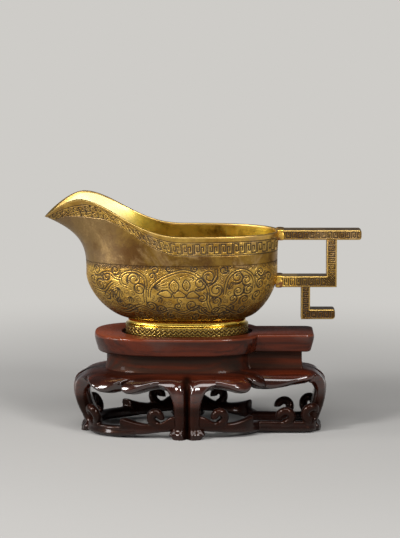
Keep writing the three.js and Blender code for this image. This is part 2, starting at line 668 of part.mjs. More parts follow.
const innerSection = new THREE.SplineCurve([
  new THREE.Vector2(SEAT_SHARE, BASE_HEIGHT - SHELL_THICKNESS),
  new THREE.Vector2(SEAT_SHARE / 2, BASE_HEIGHT - SHELL_THICKNESS),
  new THREE.Vector2(0.08, BASE_HEIGHT - SHELL_THICKNESS),
  new THREE.Vector2(0.32, BASE_HEIGHT - 1.2 * SHELL_THICKNESS),
  new THREE.Vector2(0.92 - SKIN_SHARE, mix(BASE_HEIGHT, BULGE_HEIGHT, 0.8)),
  new THREE.Vector2(1 - SKIN_SHARE, mix(BULGE_HEIGHT, ANKLE_HEIGHT, 0.05)),
  new THREE.Vector2(mix(1, ANKLE_SHARE, 0.3) - SKIN_SHARE, mix(BULGE_HEIGHT, ANKLE_HEIGHT, 0.45)),
  new THREE.Vector2(mix(1, ANKLE_SHARE, 0.85) - SKIN_SHARE, mix(BULGE_HEIGHT, ANKLE_HEIGHT, 0.85)),
  new THREE.Vector2(ANKLE_SHARE - SKIN_SHARE, ANKLE_HEIGHT),
  new THREE.Vector2(ANKLE_SHARE - SKIN_SHARE, 0),
]);

function basePoint(section, length, level, swell) {
  const { x: share, y: height } = section.getPoint(clamp01(level));
  const plan = share < 0
    ? grown(WAIST_PLAN, share * BULGE_SIDE)
    : mixedPlan(WAIST_PLAN, BULGE_PLAN, share);
  return planPoint(grown(plan, swell), placeAt(length), height);
}

// Level on the outer section at a height below its flat top, found by halving.
const FLAT_TOP_LEVEL = 0.2;
function levelAtHeight(height) {
  let high = FLAT_TOP_LEVEL;
  let low = 1;
  for (let i = 0; i < 40; i += 1) {
    const middle = (high + low) / 2;
    if (outerSection.getPoint(middle).y > height) {
      high = middle;
    } else {
      low = middle;
    }
  }
  return (high + low) / 2;
}

// A curved piece of the base. rows(share) gives the levels of its points from its upper to its lower
// edge, place(share, level) the length along the outline, and swell how far its outside stands proud.
// It can be made wider by a distance at both ends and thicker by a share of the shell on both sides.
function basePiece(across, rows, place, swell = () => 0, wider = 0, thicker = 0) {
  const grid = (section, proud) => Array.from({ length: across + 1 }, (_, i) => {
    const share = i / across;
    return rows(share).map((level) => {
      return basePoint(section, place(share, level), level, proud(share, level));
    });
  });
  const outer = grid(outerSection, swell);
  const inner = grid(innerSection, () => 0);
  for (const side of [outer, inner]) {
    for (const [last, before] of [[side[0], side[1]], [side.at(-1), side.at(-2)]]) {
      last.forEach((point, j) => point.add(point.clone().sub(before[j]).setLength(wider)));
    }
  }
  const moved = (from, to) => from.map((line, i) => {
    return line.map((point, j) => point.clone().lerp(to[i][j], -thicker));
  });
  return slab(moved(outer, inner), moved(inner, outer));
}

// Evenly spaced levels, both ends included.
function levelRows(top, bottom, steps) {
  return Array.from({ length: steps + 1 }, (_, i) => mix(top, bottom, i / steps));
}

// Half width of a leg at a level: a quarter arch from the shoulder in to the waist, then out to the toes.
function legHalfWidth(level) {
  const { y: height } = outerSection.getPoint(clamp01(level));
  if (height >= ARCH_SPRING) {
    const rise = clamp01((height - ARCH_SPRING) / (ARCH_HEIGHT - ARCH_SPRING));
    return mix(LEG_SHOULDER, LEG_WAIST, Math.sqrt(1 - rise ** 2));
  }
  const toe = Math.exp(-(((height - TOE_HEIGHT) / TOE_SPREAD) ** 2));
  return mix(LEG_WAIST, LEG_TOE, toe);
}

// Columns of a leg lie closer beside its channel than at its edges.
function legOffset(share, level) {
  const spread = 2 * share - 1;
  return Math.sign(spread) * Math.abs(spread) ** LEG_CROWDING * legHalfWidth(level);
}

function legPiece(middle, swell, wider, thicker) {
  const arch = levelAtHeight(ARCH_HEIGHT);
  const below = levelRows(0, 1, LEG_ROWS).slice(1).map((share) => mix(arch, 1, share ** LEG_ROW_CROWDING));
  const rows = [...levelRows(0, arch, APRON_ROWS), ...below];
  const place = (share, level) => middle + legOffset(share, level);
  return basePiece(LEG_COLUMNS, () => rows, place, swell, wider, thicker);
}

function legGeometry(middle) {
  const start = levelAtHeight(BASE_HEIGHT - SHOULDER_DROP);
  const swell = (share, level) => {
    const off = legOffset(share, level);
    const lobe = LEG_LOBE * Math.exp(-(((Math.abs(off) - LEG_LOBE_OFFSET) / LEG_LOBE_WIDTH) ** 2));
    const channel = LEG_GROOVE * Math.exp(-((off / LEG_GROOVE_WIDTH) ** 2));
    return smooth((level - start) / (1 - start) / LOBE_FADE) * (lobe - channel);
  };
  return legPiece(middle, swell, 0, 0);
}

// A leg made wider by the seat gap and twice as thick: cutting a rail with it leaves that gap.
function legCutter(middle) {
  return solidOf(legPiece(middle, () => 0, SEAT_GAP, 0.5));
}

// The span between a side leg and an end leg, as lengths from the handle end.
const spans = {
  back_handle: { side: SIDE_LEG, end: 0 },
  back_spout: { side: SIDE_LEG, end: HALF_OUTLINE },
  front_spout: { side: -SIDE_LEG, end: -HALF_OUTLINE },
  front_handle: { side: -SIDE_LEG, end: 0 },
};

// Apron between two legs. Its lower edge hangs in two lobes that meet in a pointed notch.
function apronGeometry({ side, end }) {
  const way = Math.sign(end - side);
  const near = LEG_SHOULDER + SEAT_GAP;
  const far = Math.abs(end - side) - near;
  const away = (share) => (share < 0.5
    ? mix(near, NOTCH_DISTANCE, 2 * share)
    : mix(NOTCH_DISTANCE, far, 2 * share - 1));
  const lowEdge = (share) => {
    const lobe = share < 0.5 ? (2 * share) ** LOBE_SKEW : 1 - (2 - 2 * share) ** LOBE_SKEW;
    const notch = NOTCH_RISE * (1 - Math.abs(2 * share - 1)) ** NOTCH_POINT;
    return levelAtHeight(ARCH_HEIGHT - LOBE_DROP * Math.abs(Math.sin(PI * lobe)) + notch);
  };
  const rows = (share) => levelRows(0, lowEdge(share), APRON_ROWS);
  return basePiece(APRON_COLUMNS, rows, (share) => side + way * away(share));
}

// A scroll that rises from the rail: a rod along a spiral drawn on the base's curved surface.
function scrollGeometry(length, bottom, way, stretch) {
  const points = levelRows(0, 1, SCROLL_STEPS).map((share) => {
    const angle = -PI / 2 + share * SCROLL_TURN * PI;
    const radius = SCROLL_RADIUS * (1 - SCROLL_CLOSING * share);
    const along = length + way * radius * stretch * Math.cos(angle);
    const level = levelAtHeight(bottom + SCROLL_RADIUS + radius * Math.sin(angle));
    const outside = basePoint(outerSection, along, level, 0);
    return outside.lerp(basePoint(innerSection, along, level, 0), 0.5);
  });
  const section = new THREE.Shape();
  section.absarc(0, 0, SCROLL_ROD, 0, 2 * PI);
  return new THREE.ExtrudeGeometry(section, {
    steps: SCROLL_STEPS,
    curveSegments: 3,
    extrudePath: new THREE.CatmullRomCurve3(points),
  });
}

// Openwork rail: a band with one pointed crest, and scrolls that rise from it and curl back.
function railGeometry({ side, end }) {
  const way = Math.sign(end - side);
  const span = Math.abs(end - side);
  const away = (share) => mix(LEG_WAIST, span - LEG_WAIST, share);
  const lift = (distance) => mix(RAIL_LIFT_SIDE, RAIL_LIFT_END, smooth(distance / span / RAIL_FALL));
  const top = (distance) => {
    const rise = (distance - CREST_START) / (CREST_TIP - CREST_START);
    const crest = rise > 0 && rise <= 1 ? RAIL_CREST * rise ** CREST_HOLLOW : 0;
    const root = RAIL_ROOT * (1 - smooth((distance - LEG_WAIST) / RAIL_ROOT_LENGTH));
    return lift(distance) + RAIL_DEPTH + crest + root;
  };
  const rows = (share) => {
    const distance = away(share);
    return levelRows(levelAtHeight(top(distance)), levelAtHeight(lift(distance)), RAIL_ROWS);
  };
  let rail = solidOf(basePiece(RAIL_COLUMNS, rows, (share) => side + way * away(share)));
  const stretch = end === 0 ? CORNER_STRETCH : 1;
  const scrolls = [
    [SCROLL_DISTANCE, 1, SCROLL_LIFT, 1],
    [span - SCROLL_DISTANCE, -1, SCROLL_LIFT_END, stretch],
  ];
  if (end === 0) {
    scrolls.push([span - HOOK_DISTANCE, 1, SCROLL_LIFT, 1]);
  }
  for (const [distance, turn, above, longer] of scrolls) {
    const bottom = lift(distance) + RAIL_DEPTH - SCROLL_ROD + above;
    rail = rail.add(solidOf(scrollGeometry(side + way * distance, bottom, turn * way, longer)));
  }
  return geometryOf(rail.subtract(legCutter(side)).subtract(legCutter(end)));
}

function stand() {
  const group = new THREE.Group();
  group.add(piece('stand_top_board', boardGeometry(), HARDWOOD));
  group.add(piece('stand_waist', waistGeometry(), HARDWOOD));
  const legs = {
    leg_handle_end: 0,
    leg_back: SIDE_LEG,
    leg_spout_end: HALF_OUTLINE,
    leg_front: -SIDE_LEG,
  };
  for (const [name, middle] of Object.entries(legs)) {
    group.add(piece(name, legGeometry(middle), HARDWOOD));
  }
  for (const [name, span] of Object.entries(spans)) {
    group.add(piece(`apron_${name}`, apronGeometry(span), HARDWOOD));
    group.add(piece(`rail_${name}`, railGeometry(span), HARDWOOD));
  }
  return group;
}

// The origin lies on the floor under the middle of the whole length, spout tip to top bar.
const FOOT_CENTRE = (SPOUT_REACH - TOP_BAR_REACH) / 2;
const vessel = boat();
vessel.position.set(FOOT_CENTRE, 0, STAND_HEIGHT);
const base = stand();
base.position.set(FOOT_CENTRE, 0, 0);
const pouringBoat = new THREE.Group();
pouringBoat.add(vessel, base);

export default pouringBoat;
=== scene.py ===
"""Looks of a gilt bronze pouring boat with engraved ornament, on its carved hardwood stand.

Shapes are worked out in millimetres from the foot's centre and written into the meshes in metres.
"""
import math

import bpy
import numpy as np
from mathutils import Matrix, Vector


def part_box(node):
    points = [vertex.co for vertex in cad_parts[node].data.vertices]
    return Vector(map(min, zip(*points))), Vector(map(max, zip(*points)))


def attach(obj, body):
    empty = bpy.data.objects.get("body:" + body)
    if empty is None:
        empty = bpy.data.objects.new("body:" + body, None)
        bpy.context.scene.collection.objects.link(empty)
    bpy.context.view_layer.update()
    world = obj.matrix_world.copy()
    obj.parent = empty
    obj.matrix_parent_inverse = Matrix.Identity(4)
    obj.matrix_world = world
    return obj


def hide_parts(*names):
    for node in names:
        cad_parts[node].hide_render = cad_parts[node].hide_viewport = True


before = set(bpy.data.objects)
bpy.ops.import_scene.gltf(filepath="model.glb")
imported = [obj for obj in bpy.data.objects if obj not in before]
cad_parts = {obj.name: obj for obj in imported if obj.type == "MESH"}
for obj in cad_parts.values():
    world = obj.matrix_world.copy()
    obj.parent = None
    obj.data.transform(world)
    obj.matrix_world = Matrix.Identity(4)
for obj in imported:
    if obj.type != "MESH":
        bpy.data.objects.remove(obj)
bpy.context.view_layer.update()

MM = 0.001
BOAT = "boat"
STAND = "stand"


def box_mm(node):
    """Lowest and highest corner of a CAD node, in millimetres."""
    low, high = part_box(node)
    return np.array(low) / MM, np.array(high) / MM


FOOT_LOW, FOOT_HIGH = box_mm("foot_ring")
FOOT_X = (FOOT_LOW[0] + FOOT_HIGH[0]) / 2
BOARD_TOP = box_mm("stand_top_board")[1][2]

# Bowl: lengths from the foot's centre, heights from the board's top
WALL = 1.6
SPOUT_REACH = 71.0
SPOUT_TIP_HEIGHT = 57.5
CREST_REACH = 52.7
CREST_HEIGHT = 68.1
RIM_REACH = 46.2
RIM_HALF_WIDTH = 26.7
RIM_HEIGHT = 50.4
BELLY_SPOUT_REACH = 50.3
BELLY_HANDLE_REACH = 45.2
BELLY_HALF_WIDTH = 27.0
BELLY_HEIGHT = 29.0
BOWL_BOTTOM = 7.5
BOTTOM_REACH = 30.0
BOTTOM_HALF_WIDTH = 18.3
LIP_ROUND = 0.4
TIP_SLANT = 1.5

# Powers of the bowl's curves
ROUND_POWER = 2.3
ROUND_POWERS = (ROUND_POWER, 1 / ROUND_POWER)
SPOUT_POWERS = (2.6, 0.65)
CLIMB_POWER, FALL_POWER = 1.3, 1.65
QUARTER_POWER, SPREAD_POWER = 0.8, 1.25
NECK_POWER = 3.5

# Engraved zones of the bowl, as drops below the rim and the height of the line round the belly
LIP_WIDTH = 2.5
FRET_WIDTH = 6.4
FRET_BOTTOM = LIP_WIDTH + FRET_WIDTH
BAND_DROP = FRET_BOTTOM + 0.9
FRET_START = -49.0
BELLY_LINE = 36.2

# Grooves, and the rows, columns and hidden backs of the bowl's pieces
GROOVE_DEPTH = 0.2
LINE_HALF_WIDTH = 0.19
SHEET_PITCH = 0.1
FINE_COLUMNS = 1480
LINER_COLUMNS = 360
BELLY_RINGS, BELLY_ROWS = 4, 52
RIM_ROWS = 54
BACK_INSET = 0.75
LINER_INSET = 0.9
LINER_SEAM = 0.7


# Small sums that many shapes share

def smooth(value):
    """S-curve from 0 to 1: 3 value ^ 2 - 2 value ^ 3."""
    value = np.clip(value, 0, 1)
    return value * value * (3 - 2 * value)


def mix(start, end, share):
    """The value a share of the way from start to end."""
    return start + (end - start) * share


def hump(value):
    """Bell curve of height 1: exp(-value ^ 2)."""
    return np.exp(-value ** 2)


def unit(vectors):
    """Each vector along the last axis, divided by its length."""
    return vectors / np.maximum(np.linalg.norm(vectors, axis=-1, keepdims=True), 1e-12)


def running_length(points):
    """Length along a line of points up to each of them: the sum of its steps."""
    return np.concatenate([[0], np.cumsum(np.linalg.norm(np.diff(points, axis=0), axis=1))])


def cubic(before, here, there, after, share):
    """Smooth cubic from here to there; its slope at each end is half the way between the two neighbours."""
    pull, push = (there - before) / 2, (after - here) / 2
    return ((2 * here - 2 * there + pull + push) * share ** 3
            + (-3 * here + 3 * there - 2 * pull - push) * share ** 2 + pull * share + here)


# Mesh building

SHARP_ANGLE = math.radians(40)


def write_mesh(name, points, quads, triangles, material, groove=None):
    """One closed piece from points in millimetres. The sum of its faces' triple products, six times its
    volume, is negative if the faces point inwards, and they are then turned round."""
    points = np.ascontiguousarray(points, dtype=float)
    quads = np.asarray(quads, dtype=np.int32).reshape(-1, 4)
    triangles = np.asarray(triangles, dtype=np.int32).reshape(-1, 3)
    split = np.concatenate([quads[:, [0, 1, 2]], quads[:, [0, 2, 3]], triangles])
    corner = points[split]
    if np.einsum("ij,ij->i", corner[:, 0], np.cross(corner[:, 1], corner[:, 2])).sum() < 0:
        quads = quads[:, ::-1]
        triangles = triangles[:, ::-1]
    loops = np.concatenate([quads.ravel(), triangles.ravel()])
    starts = np.concatenate([np.arange(len(quads)) * 4, len(quads) * 4 + np.arange(len(triangles)) * 3])
    mesh = bpy.data.meshes.new(name)
    mesh.vertices.add(len(points))
    mesh.vertices.foreach_set("co", (points * MM).ravel())
    mesh.loops.add(len(loops))
    mesh.loops.foreach_set("vertex_index", loops)
    mesh.polygons.add(len(starts))
    mesh.polygons.foreach_set("loop_start", starts.astype(np.int32))
    mesh.polygons.foreach_set("use_smooth", np.ones(len(starts), dtype=bool))
    mesh.update(calc_edges=True)
    mesh.set_sharp_from_angle(angle=SHARP_ANGLE)
    mesh.materials.append(material)
    piece = bpy.data.objects.new(name, mesh)
    bpy.context.scene.collection.objects.link(piece)
    if groove is not None:
        mark(piece, "groove", groove)
    return piece


def mark(piece, name, values):
    """Gives each point of a piece a number that its material reads."""
    attribute = piece.data.attributes.new(name, "FLOAT", "POINT")
    attribute.data.foreach_set("value", np.ascontiguousarray(values.ravel(), dtype=np.float32))


def ring_quads(rows, columns, loop):
    """Quads between successive rings of points; with loop, the last ring joins the first."""
    row = np.arange(rows if loop else rows - 1)[:, None]
    column = np.arange(columns)[None, :]
    below = (row + 1) % rows
    right = (column + 1) % columns
    corners = (
        row * columns + column, row * columns + right, below * columns + right, below * columns + column)
    return np.stack(np.broadcast_arrays(*corners), -1).reshape(-1, 4)


def fan_triangles(rows, columns):
    """Triangles from the first ring to a pole, and from the last ring to a second pole. The two poles come
    straight after the points of the rings."""
    here = np.arange(columns)
    right = (here + 1) % columns
    last = (rows - 1) * columns
    pole = np.full(columns, rows * columns)
    return np.concatenate([
        np.stack([pole, right, here], -1), np.stack([pole + 1, last + here, last + right], -1)])


def loop_piece(name, rings, material, groove=None):
    """Closed tube whose rings [row, column, xyz] close on themselves both ways."""
    quads = ring_quads(*rings.shape[:2], True)
    return write_mesh(name, rings.reshape(-1, 3), quads, [], material, groove)


def capped_piece(name, rings, material, groove=None, ends=None):
    """Closed body from rings [row, column, xyz], with a fan of triangles round each end's centre."""
    if ends is None:
        ends = np.stack([rings[0].mean(0), rings[-1].mean(0)])
    points = np.concatenate([rings.reshape(-1, 3), ends])
    grid = rings.shape[:2]
    marks = None if groove is None else np.concatenate([groove.ravel(), [0, 0]])
    return write_mesh(name, points, ring_quads(*grid, False), fan_triangles(*grid), material, marks)


def with_plain(values, rows, plain=0.0):
    """A grid of marks with rows of one plain value added after it, for a piece's unworked rows."""
    return np.concatenate([values, np.full((rows, values.shape[1]), plain)])


def dress(piece, body, slot, *nodes):
    """Puts a finished piece on its body, in place of its CAD nodes. The slot is not used."""
    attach(piece, body)
    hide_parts(*nodes)
    return piece


# Engraving: widths of strokes are multiples of the plain line

CURL_STROKE = 1.5
FINE_STROKE = 1.2
STEM_STROKE = 1.4
LEAF_STROKE = 1.25
BOLD_STROKE = 1.75
HATCH_STROKE = 0.6
SMOOTH_STROKE = 3.0
KEY_STROKE = 1.3
THIN_STROKE = 1.1
GROOVE_FLOOR, GROOVE_FALL = 0.4, 1.3
NO_STROKE = 9.0
STROKE_PART = 6


class Engraving:
    """A sheet of distances in millimetres to the nearest engraved stroke, on a fine square grid. Beyond the
    reach no distance is kept."""

    def __init__(self, low, high, reach=1.2):
        self.reach = reach
        self.low = np.array(low, dtype=float)
        size = np.ceil((np.array(high) - self.low) / SHEET_PITCH).astype(int) + 1
        self.far = np.full(tuple(size), NO_STROKE)

    def stroke(self, points, width):
        """Keeps the least distance to a line through the points; width divides it, so 2 is a wide line. A
        long line is taken in short parts, each with a small window of the sheet."""
        points = np.asarray(points, dtype=float)
        for first in range(0, len(points) - 1, STROKE_PART):
            self.short_stroke(points[first:first + STROKE_PART + 1], width)

    def short_stroke(self, points, width):
        """Distances in the window round a few points. On each straight step the nearest place lies at the
        share (spot - start) . step / step . step, kept from 0 to 1."""
        margin = self.reach * max(width, 1.0)
        low = np.floor((points.min(0) - margin - self.low) / SHEET_PITCH).astype(int)
        high = np.ceil((points.max(0) + margin - self.low) / SHEET_PITCH).astype(int)
        low = np.clip(low, 0, self.far.shape)
        high = np.clip(high, 0, self.far.shape)
        if (high <= low).any():
            return
        first = self.low[0] + SHEET_PITCH * np.arange(low[0], high[0])
        second = self.low[1] + SHEET_PITCH * np.arange(low[1], high[1])
        spot = np.stack(np.meshgrid(first, second, indexing="ij"), -1)
        window = self.far[low[0]:high[0], low[1]:high[1]]
        for start, end in zip(points[:-1], points[1:]):
            step = end - start
            share = ((spot - start) @ step) / max(step @ step, 1e-9)
            away = spot - start - np.clip(share, 0, 1)[..., None] * step
            np.minimum(window, np.hypot(away[..., 0], away[..., 1]) / width, out=window)

    def depth(self, first, second):
        """Share of full groove depth at each place. The distance is read between the four nearest spots of
        the sheet; the groove is full on its floor and falls smoothly to nothing beside it."""
        place = (np.stack([first, second], -1) - self.low) / SHEET_PITCH
        place = np.clip(place, 0, np.array(self.far.shape) - 1.001)
        cell = place.astype(int)
        i, j = cell[..., 0], cell[..., 1]
        share = place - cell
        u, v = share[..., 0], share[..., 1]
        far = mix(
            mix(self.far[i, j], self.far[i + 1, j], u),
            mix(self.far[i, j + 1], self.far[i + 1, j + 1], u),
            v,
        )
        return 1 - smooth((far - GROOVE_FLOOR * LINE_HALF_WIDTH) / (GROOVE_FALL * LINE_HALF_WIDTH))


def spiral(centre, radius, start, turns, tail=0.0):
    """Curl that tightens from its radius to a small eye: size = radius * (1.12 - 0.86 * share ^ 1.25). start
    is its first angle in degrees, turns may be negative, and tail is a straight run-in."""
    share = np.linspace(0, 1, int(22 * abs(turns)) + 6)
    angle = np.radians(start) + share * turns * 2 * np.pi
    size = radius * (1.12 - 0.86 * share ** 1.25)
    curl = np.stack([centre[0] + size * np.cos(angle), centre[1] + size * np.sin(angle)], -1)
    if tail:
        curl = np.concatenate([[curl[0] + unit(curl[0] - curl[1]) * tail], curl])
    return curl


def bow(start, end, bulge):
    """Line between two places, pushed sideways by bulge * 4 * share * (1 - share)."""
    start, end = np.array(start, dtype=float), np.array(end, dtype=float)
    share = np.linspace(0, 1, 16)[:, None]
    across = unit(np.array([start[1] - end[1], end[0] - start[0]]))
    return mix(start, end, share) + across * bulge * 4 * share * (1 - share)


def beside(line, offset):
    """The line moved sideways by offset, for the second edge of a stem."""
    way = unit(np.gradient(line, axis=0))
    return line + offset * np.stack([-way[:, 1], way[:, 0]], -1)


def smooth_line(points):
    """Smooth curve through the given places: a cubic of ten steps from each to the next, with one more place
    run on straight at both ends for the end slopes."""
    points = np.asarray(points, dtype=float)
    padded = np.concatenate([2 * points[:1] - points[1:2], points, 2 * points[-1:] - points[-2:-1]])[:, None]
    share = (np.arange(10) / 10)[:, None]
    line = cubic(padded[:-3], padded[1:-2], padded[2:-1], padded[3:], share)
    return np.concatenate([line.reshape(-1, 2), points[-1:]])


# Bowl surface

def oval(turn, spout, handle, half_width, spout_powers=ROUND_POWERS):
    """Plan oval. turn runs from 0 at the handle to 2 or -2 at the spout, front negative.
    x = reach * cos(turn quarter circles), y = half width * (1 - |cos| ^ along) ^ across."""
    share = np.cos(turn * np.pi / 2)
    front = share < 0
    along = np.where(front, spout_powers[0], ROUND_POWERS[0])
    across = np.where(front, spout_powers[1], ROUND_POWERS[1])
    x = share * np.where(front, spout, handle)
    y = np.sign(turn) * half_width * np.maximum(0, 1 - np.abs(share) ** along) ** across
    return x, y


def rim_height(x, tip):
    """Level at the handle, an S-curve up to the crest, and a fall to the spout's tip."""
    climb = mix(RIM_HEIGHT, CREST_HEIGHT, smooth(np.clip(-x / CREST_REACH, 0, 1) ** CLIMB_POWER))
    fall = np.clip((-x - CREST_REACH) / (tip - CREST_REACH), 0, 1) ** FALL_POWER
    return np.where(x > -CREST_REACH, climb, mix(CREST_HEIGHT, SPOUT_TIP_HEIGHT, fall))


def rim_line(turn, inset=0.0):
    """The rim's oval with its height, drawn in by an inset; the slanting tip is drawn in by more."""
    tip = SPOUT_REACH - TIP_SLANT * inset
    x, y = oval(turn, tip, RIM_REACH - inset, RIM_HALF_WIDTH - inset, SPOUT_POWERS)
    return x, y, rim_height(x, tip)


def wall_spread(height, bottom=BOWL_BOTTOM):
    """Share of the way from the bottom oval out to the belly oval, on a rounded quarter: the sine, to a
    power, of the angle whose cosine is a power of the height left."""
    low = np.clip((height - bottom) / (BELLY_HEIGHT - bottom), 0, 1)
    angle = np.arccos(np.clip((1 - low) ** QUARTER_POWER, 0, 1))
    return np.sin(angle) ** SPREAD_POWER


def bowl_wall(turn, height, inset=0.0):
    """Point of the bowl's skin at a height. Below the belly a rounded quarter carries the bottom oval out
    to the belly oval; above it a high power of the rise carries the belly oval out to the rim line."""
    bottom = BOWL_BOTTOM + inset
    foot_x, foot_y = oval(turn, BOTTOM_REACH - inset, BOTTOM_REACH - inset, BOTTOM_HALF_WIDTH - inset)
    belly_x, belly_y = oval(
        turn, BELLY_SPOUT_REACH - inset, BELLY_HANDLE_REACH - inset, BELLY_HALF_WIDTH - inset)
    rim_x, rim_y, rim_z = rim_line(turn, inset)
    spread = wall_spread(height, bottom)
    rise = np.clip((height - BELLY_HEIGHT) / (rim_z - BELLY_HEIGHT), 0, 1) ** NECK_POWER
    above = height > BELLY_HEIGHT
    x = np.where(above, mix(belly_x, rim_x, rise), mix(foot_x, belly_x, spread))
    y = np.where(above, mix(belly_y, rim_y, rise), mix(foot_y, belly_y, spread))
    return np.stack(np.broadcast_arrays(x, y, height), -1)


def boat_place(points):
    """From the boat's own measures to the whole object's."""
    return points + np.array([FOOT_X, 0, BOARD_TOP])


def skin_normals(points):
    """Outward normals of a grid [row, column, xyz] that closes along its columns."""
    down = np.gradient(points, axis=0)
    along = (np.roll(points, -1, 1) - np.roll(points, 1, 1)) / 2
    normal = unit(np.cross(along, down))
    outward = (normal[..., :2] * points[..., :2]).sum() > 0
    return normal if outward else -normal


def engraved(points, depth):
    """Skin with its grooves cut in along the normals by GROOVE_DEPTH."""
    return points - skin_normals(points) * (depth * GROOVE_DEPTH)[..., None]


# Lengths along the belly oval against turn, from the handle to the spout
DENSE_TURNS = np.linspace(0, 2, 4001)
BELLY_OVAL = oval(DENSE_TURNS, BELLY_SPOUT_REACH, BELLY_HANDLE_REACH, BELLY_HALF_WIDTH)
DENSE_LENGTHS = running_length(np.stack(BELLY_OVAL, -1))
SIDE_LENGTH = DENSE_LENGTHS[-1]
MIDDLE_LENGTH = np.interp(1.0, DENSE_TURNS, DENSE_LENGTHS)

# Lengths down the wall in the middle of a side, from the belly line to the foot
DENSE_HEIGHTS = np.linspace(BELLY_LINE, BOWL_BOTTOM, 1200)
DENSE_DROPS = running_length(bowl_wall(np.ones_like(DENSE_HEIGHTS), DENSE_HEIGHTS))
BELLY_DROP = DENSE_DROPS[-1]
BOTTOM_SHARE = (BOTTOM_REACH + BOTTOM_HALF_WIDTH) / (BELLY_HANDLE_REACH + BELLY_HALF_WIDTH)


def even_turns(columns):
    """Turns of columns spaced evenly round the belly, from the handle over the back to the front."""
    length = np.arange(columns) / columns * 2 * SIDE_LENGTH
    folded = np.where(length > SIDE_LENGTH, 2 * SIDE_LENGTH - length, length)
    turn = np.interp(folded, DENSE_LENGTHS, DENSE_TURNS)
    return np.where(length > SIDE_LENGTH, -turn, turn)


def side_length(turn):
    """Length along the belly from the middle of a side: positive to the handle, negative to the spout."""
    return MIDDLE_LENGTH - np.interp(np.abs(turn), DENSE_TURNS, DENSE_LENGTHS)


def laid(places):
    """Places [along, height] as seen from the side, turned into [belly length, drop] on the wall."""
    places = np.asarray(places, dtype=float)
    belly = np.where(places[:, 0] < 0, BELLY_SPOUT_REACH, BELLY_HANDLE_REACH)
    reach = mix(BOTTOM_REACH, belly, wall_spread(places[:, 1]))
    turn = np.arccos(np.clip(places[:, 0] / reach, -1, 1)) * 2 / np.pi
    drop = np.interp(-places[:, 1], -DENSE_HEIGHTS, DENSE_DROPS)
    return np.stack([side_length(turn), drop], -1)


def widened(line, centre):
    """A line stretched lengthwise about a centre by as much as the wall narrows there towards the foot."""
    height = np.interp(centre[1], DENSE_DROPS, DENSE_HEIGHTS)
    shrink = mix(BOTTOM_SHARE, 1, wall_spread(height))
    return centre + (line - centre) * np.array([1 / shrink, 1])


# Ornament of the belly

# Curls as seen from the side: along, height, radius, first angle, turns
BELLY_CURLS = [
    (-44.7, 33.0, 2.3, 60, 1.6), (-39.7, 30.2, 1.9, 200, -1.4), (-35.4, 33.6, 1.9, 20, 1.4),
    (-42.8, 25.6, 2.3, 300, -1.5), (-46.6, 28.2, 1.7, 90, 1.3), (-25.9, 29.4, 2.9, 160, 1.7),
    (-23.4, 24.4, 2.6, -20, -1.6), (-35.0, 19.6, 1.8, 40, 1.4), (-39.4, 20.4, 1.7, 150, -1.3),
    (-15.6, 34.2, 1.6, 220, 1.3), (-17.2, 31.4, 1.4, 30, -1.2), (-9.0, 35.0, 1.2, 20, 1.2),
    (6.6, 27.7, 2.7, 100, -1.6), (11.0, 31.0, 3.1, 20, 1.7), (14.6, 24.2, 3.0, 150, -1.7),
    (7.6, 20.2, 1.9, -60, 1.5), (4.0, 35.0, 1.3, 200, -1.3), (18.2, 34.3, 2.0, 250, 1.5),
    (14.6, 18.6, 1.8, 40, -1.4), (25.0, 30.6, 2.7, 120, -1.7), (29.6, 29.0, 2.3, 60, 1.5),
    (25.4, 23.4, 2.2, 0, 1.5), (30.6, 24.0, 2.1, 200, -1.5), (28.4, 19.0, 1.9, 140, 1.4),
    (22.8, 19.6, 1.8, 80, -1.4), (36.6, 32.6, 1.9, 20, 1.4), (36.4, 26.4, 2.1, 300, -1.5),
    (34.6, 21.0, 2.0, 100, 1.4), (40.6, 29.6, 1.8, 200, 1.3), (39.8, 23.4, 1.8, 60, -1.3),
    (-26.2, 14.0, 2.0, 200, 1.5), (-17.5, 15.8, 2.2, 30, -1.6), (-11.9, 14.2, 2.0, 150, 1.5),
    (-31.9, 16.6, 2.0, 260, -1.4), (-4.2, 16.0, 1.5, 90, 1.3), (2.5, 16.4, 2.5, 20, 1.6),
    (8.3, 14.0, 1.9, 200, -1.5), (14.4, 13.6, 1.9, 60, 1.4), (21.0, 14.4, 2.2, 130, -1.5),
    (27.2, 13.8, 1.8, 30, 1.4), (-21.6, 11.0, 1.6, 90, 1.3), (-7.6, 10.8, 1.6, 270, -1.3),
    (4.6, 10.6, 1.6, 90, 1.3), (17.4, 10.6, 1.6, 270, -1.3),
]

CURL_SIZE, CURL_TAIL = 1.08, 0.8
OUTER_CURL_GAP, OUTER_CURL_LEAD, OUTER_CURL_TURN = 0.95, 20, 0.45

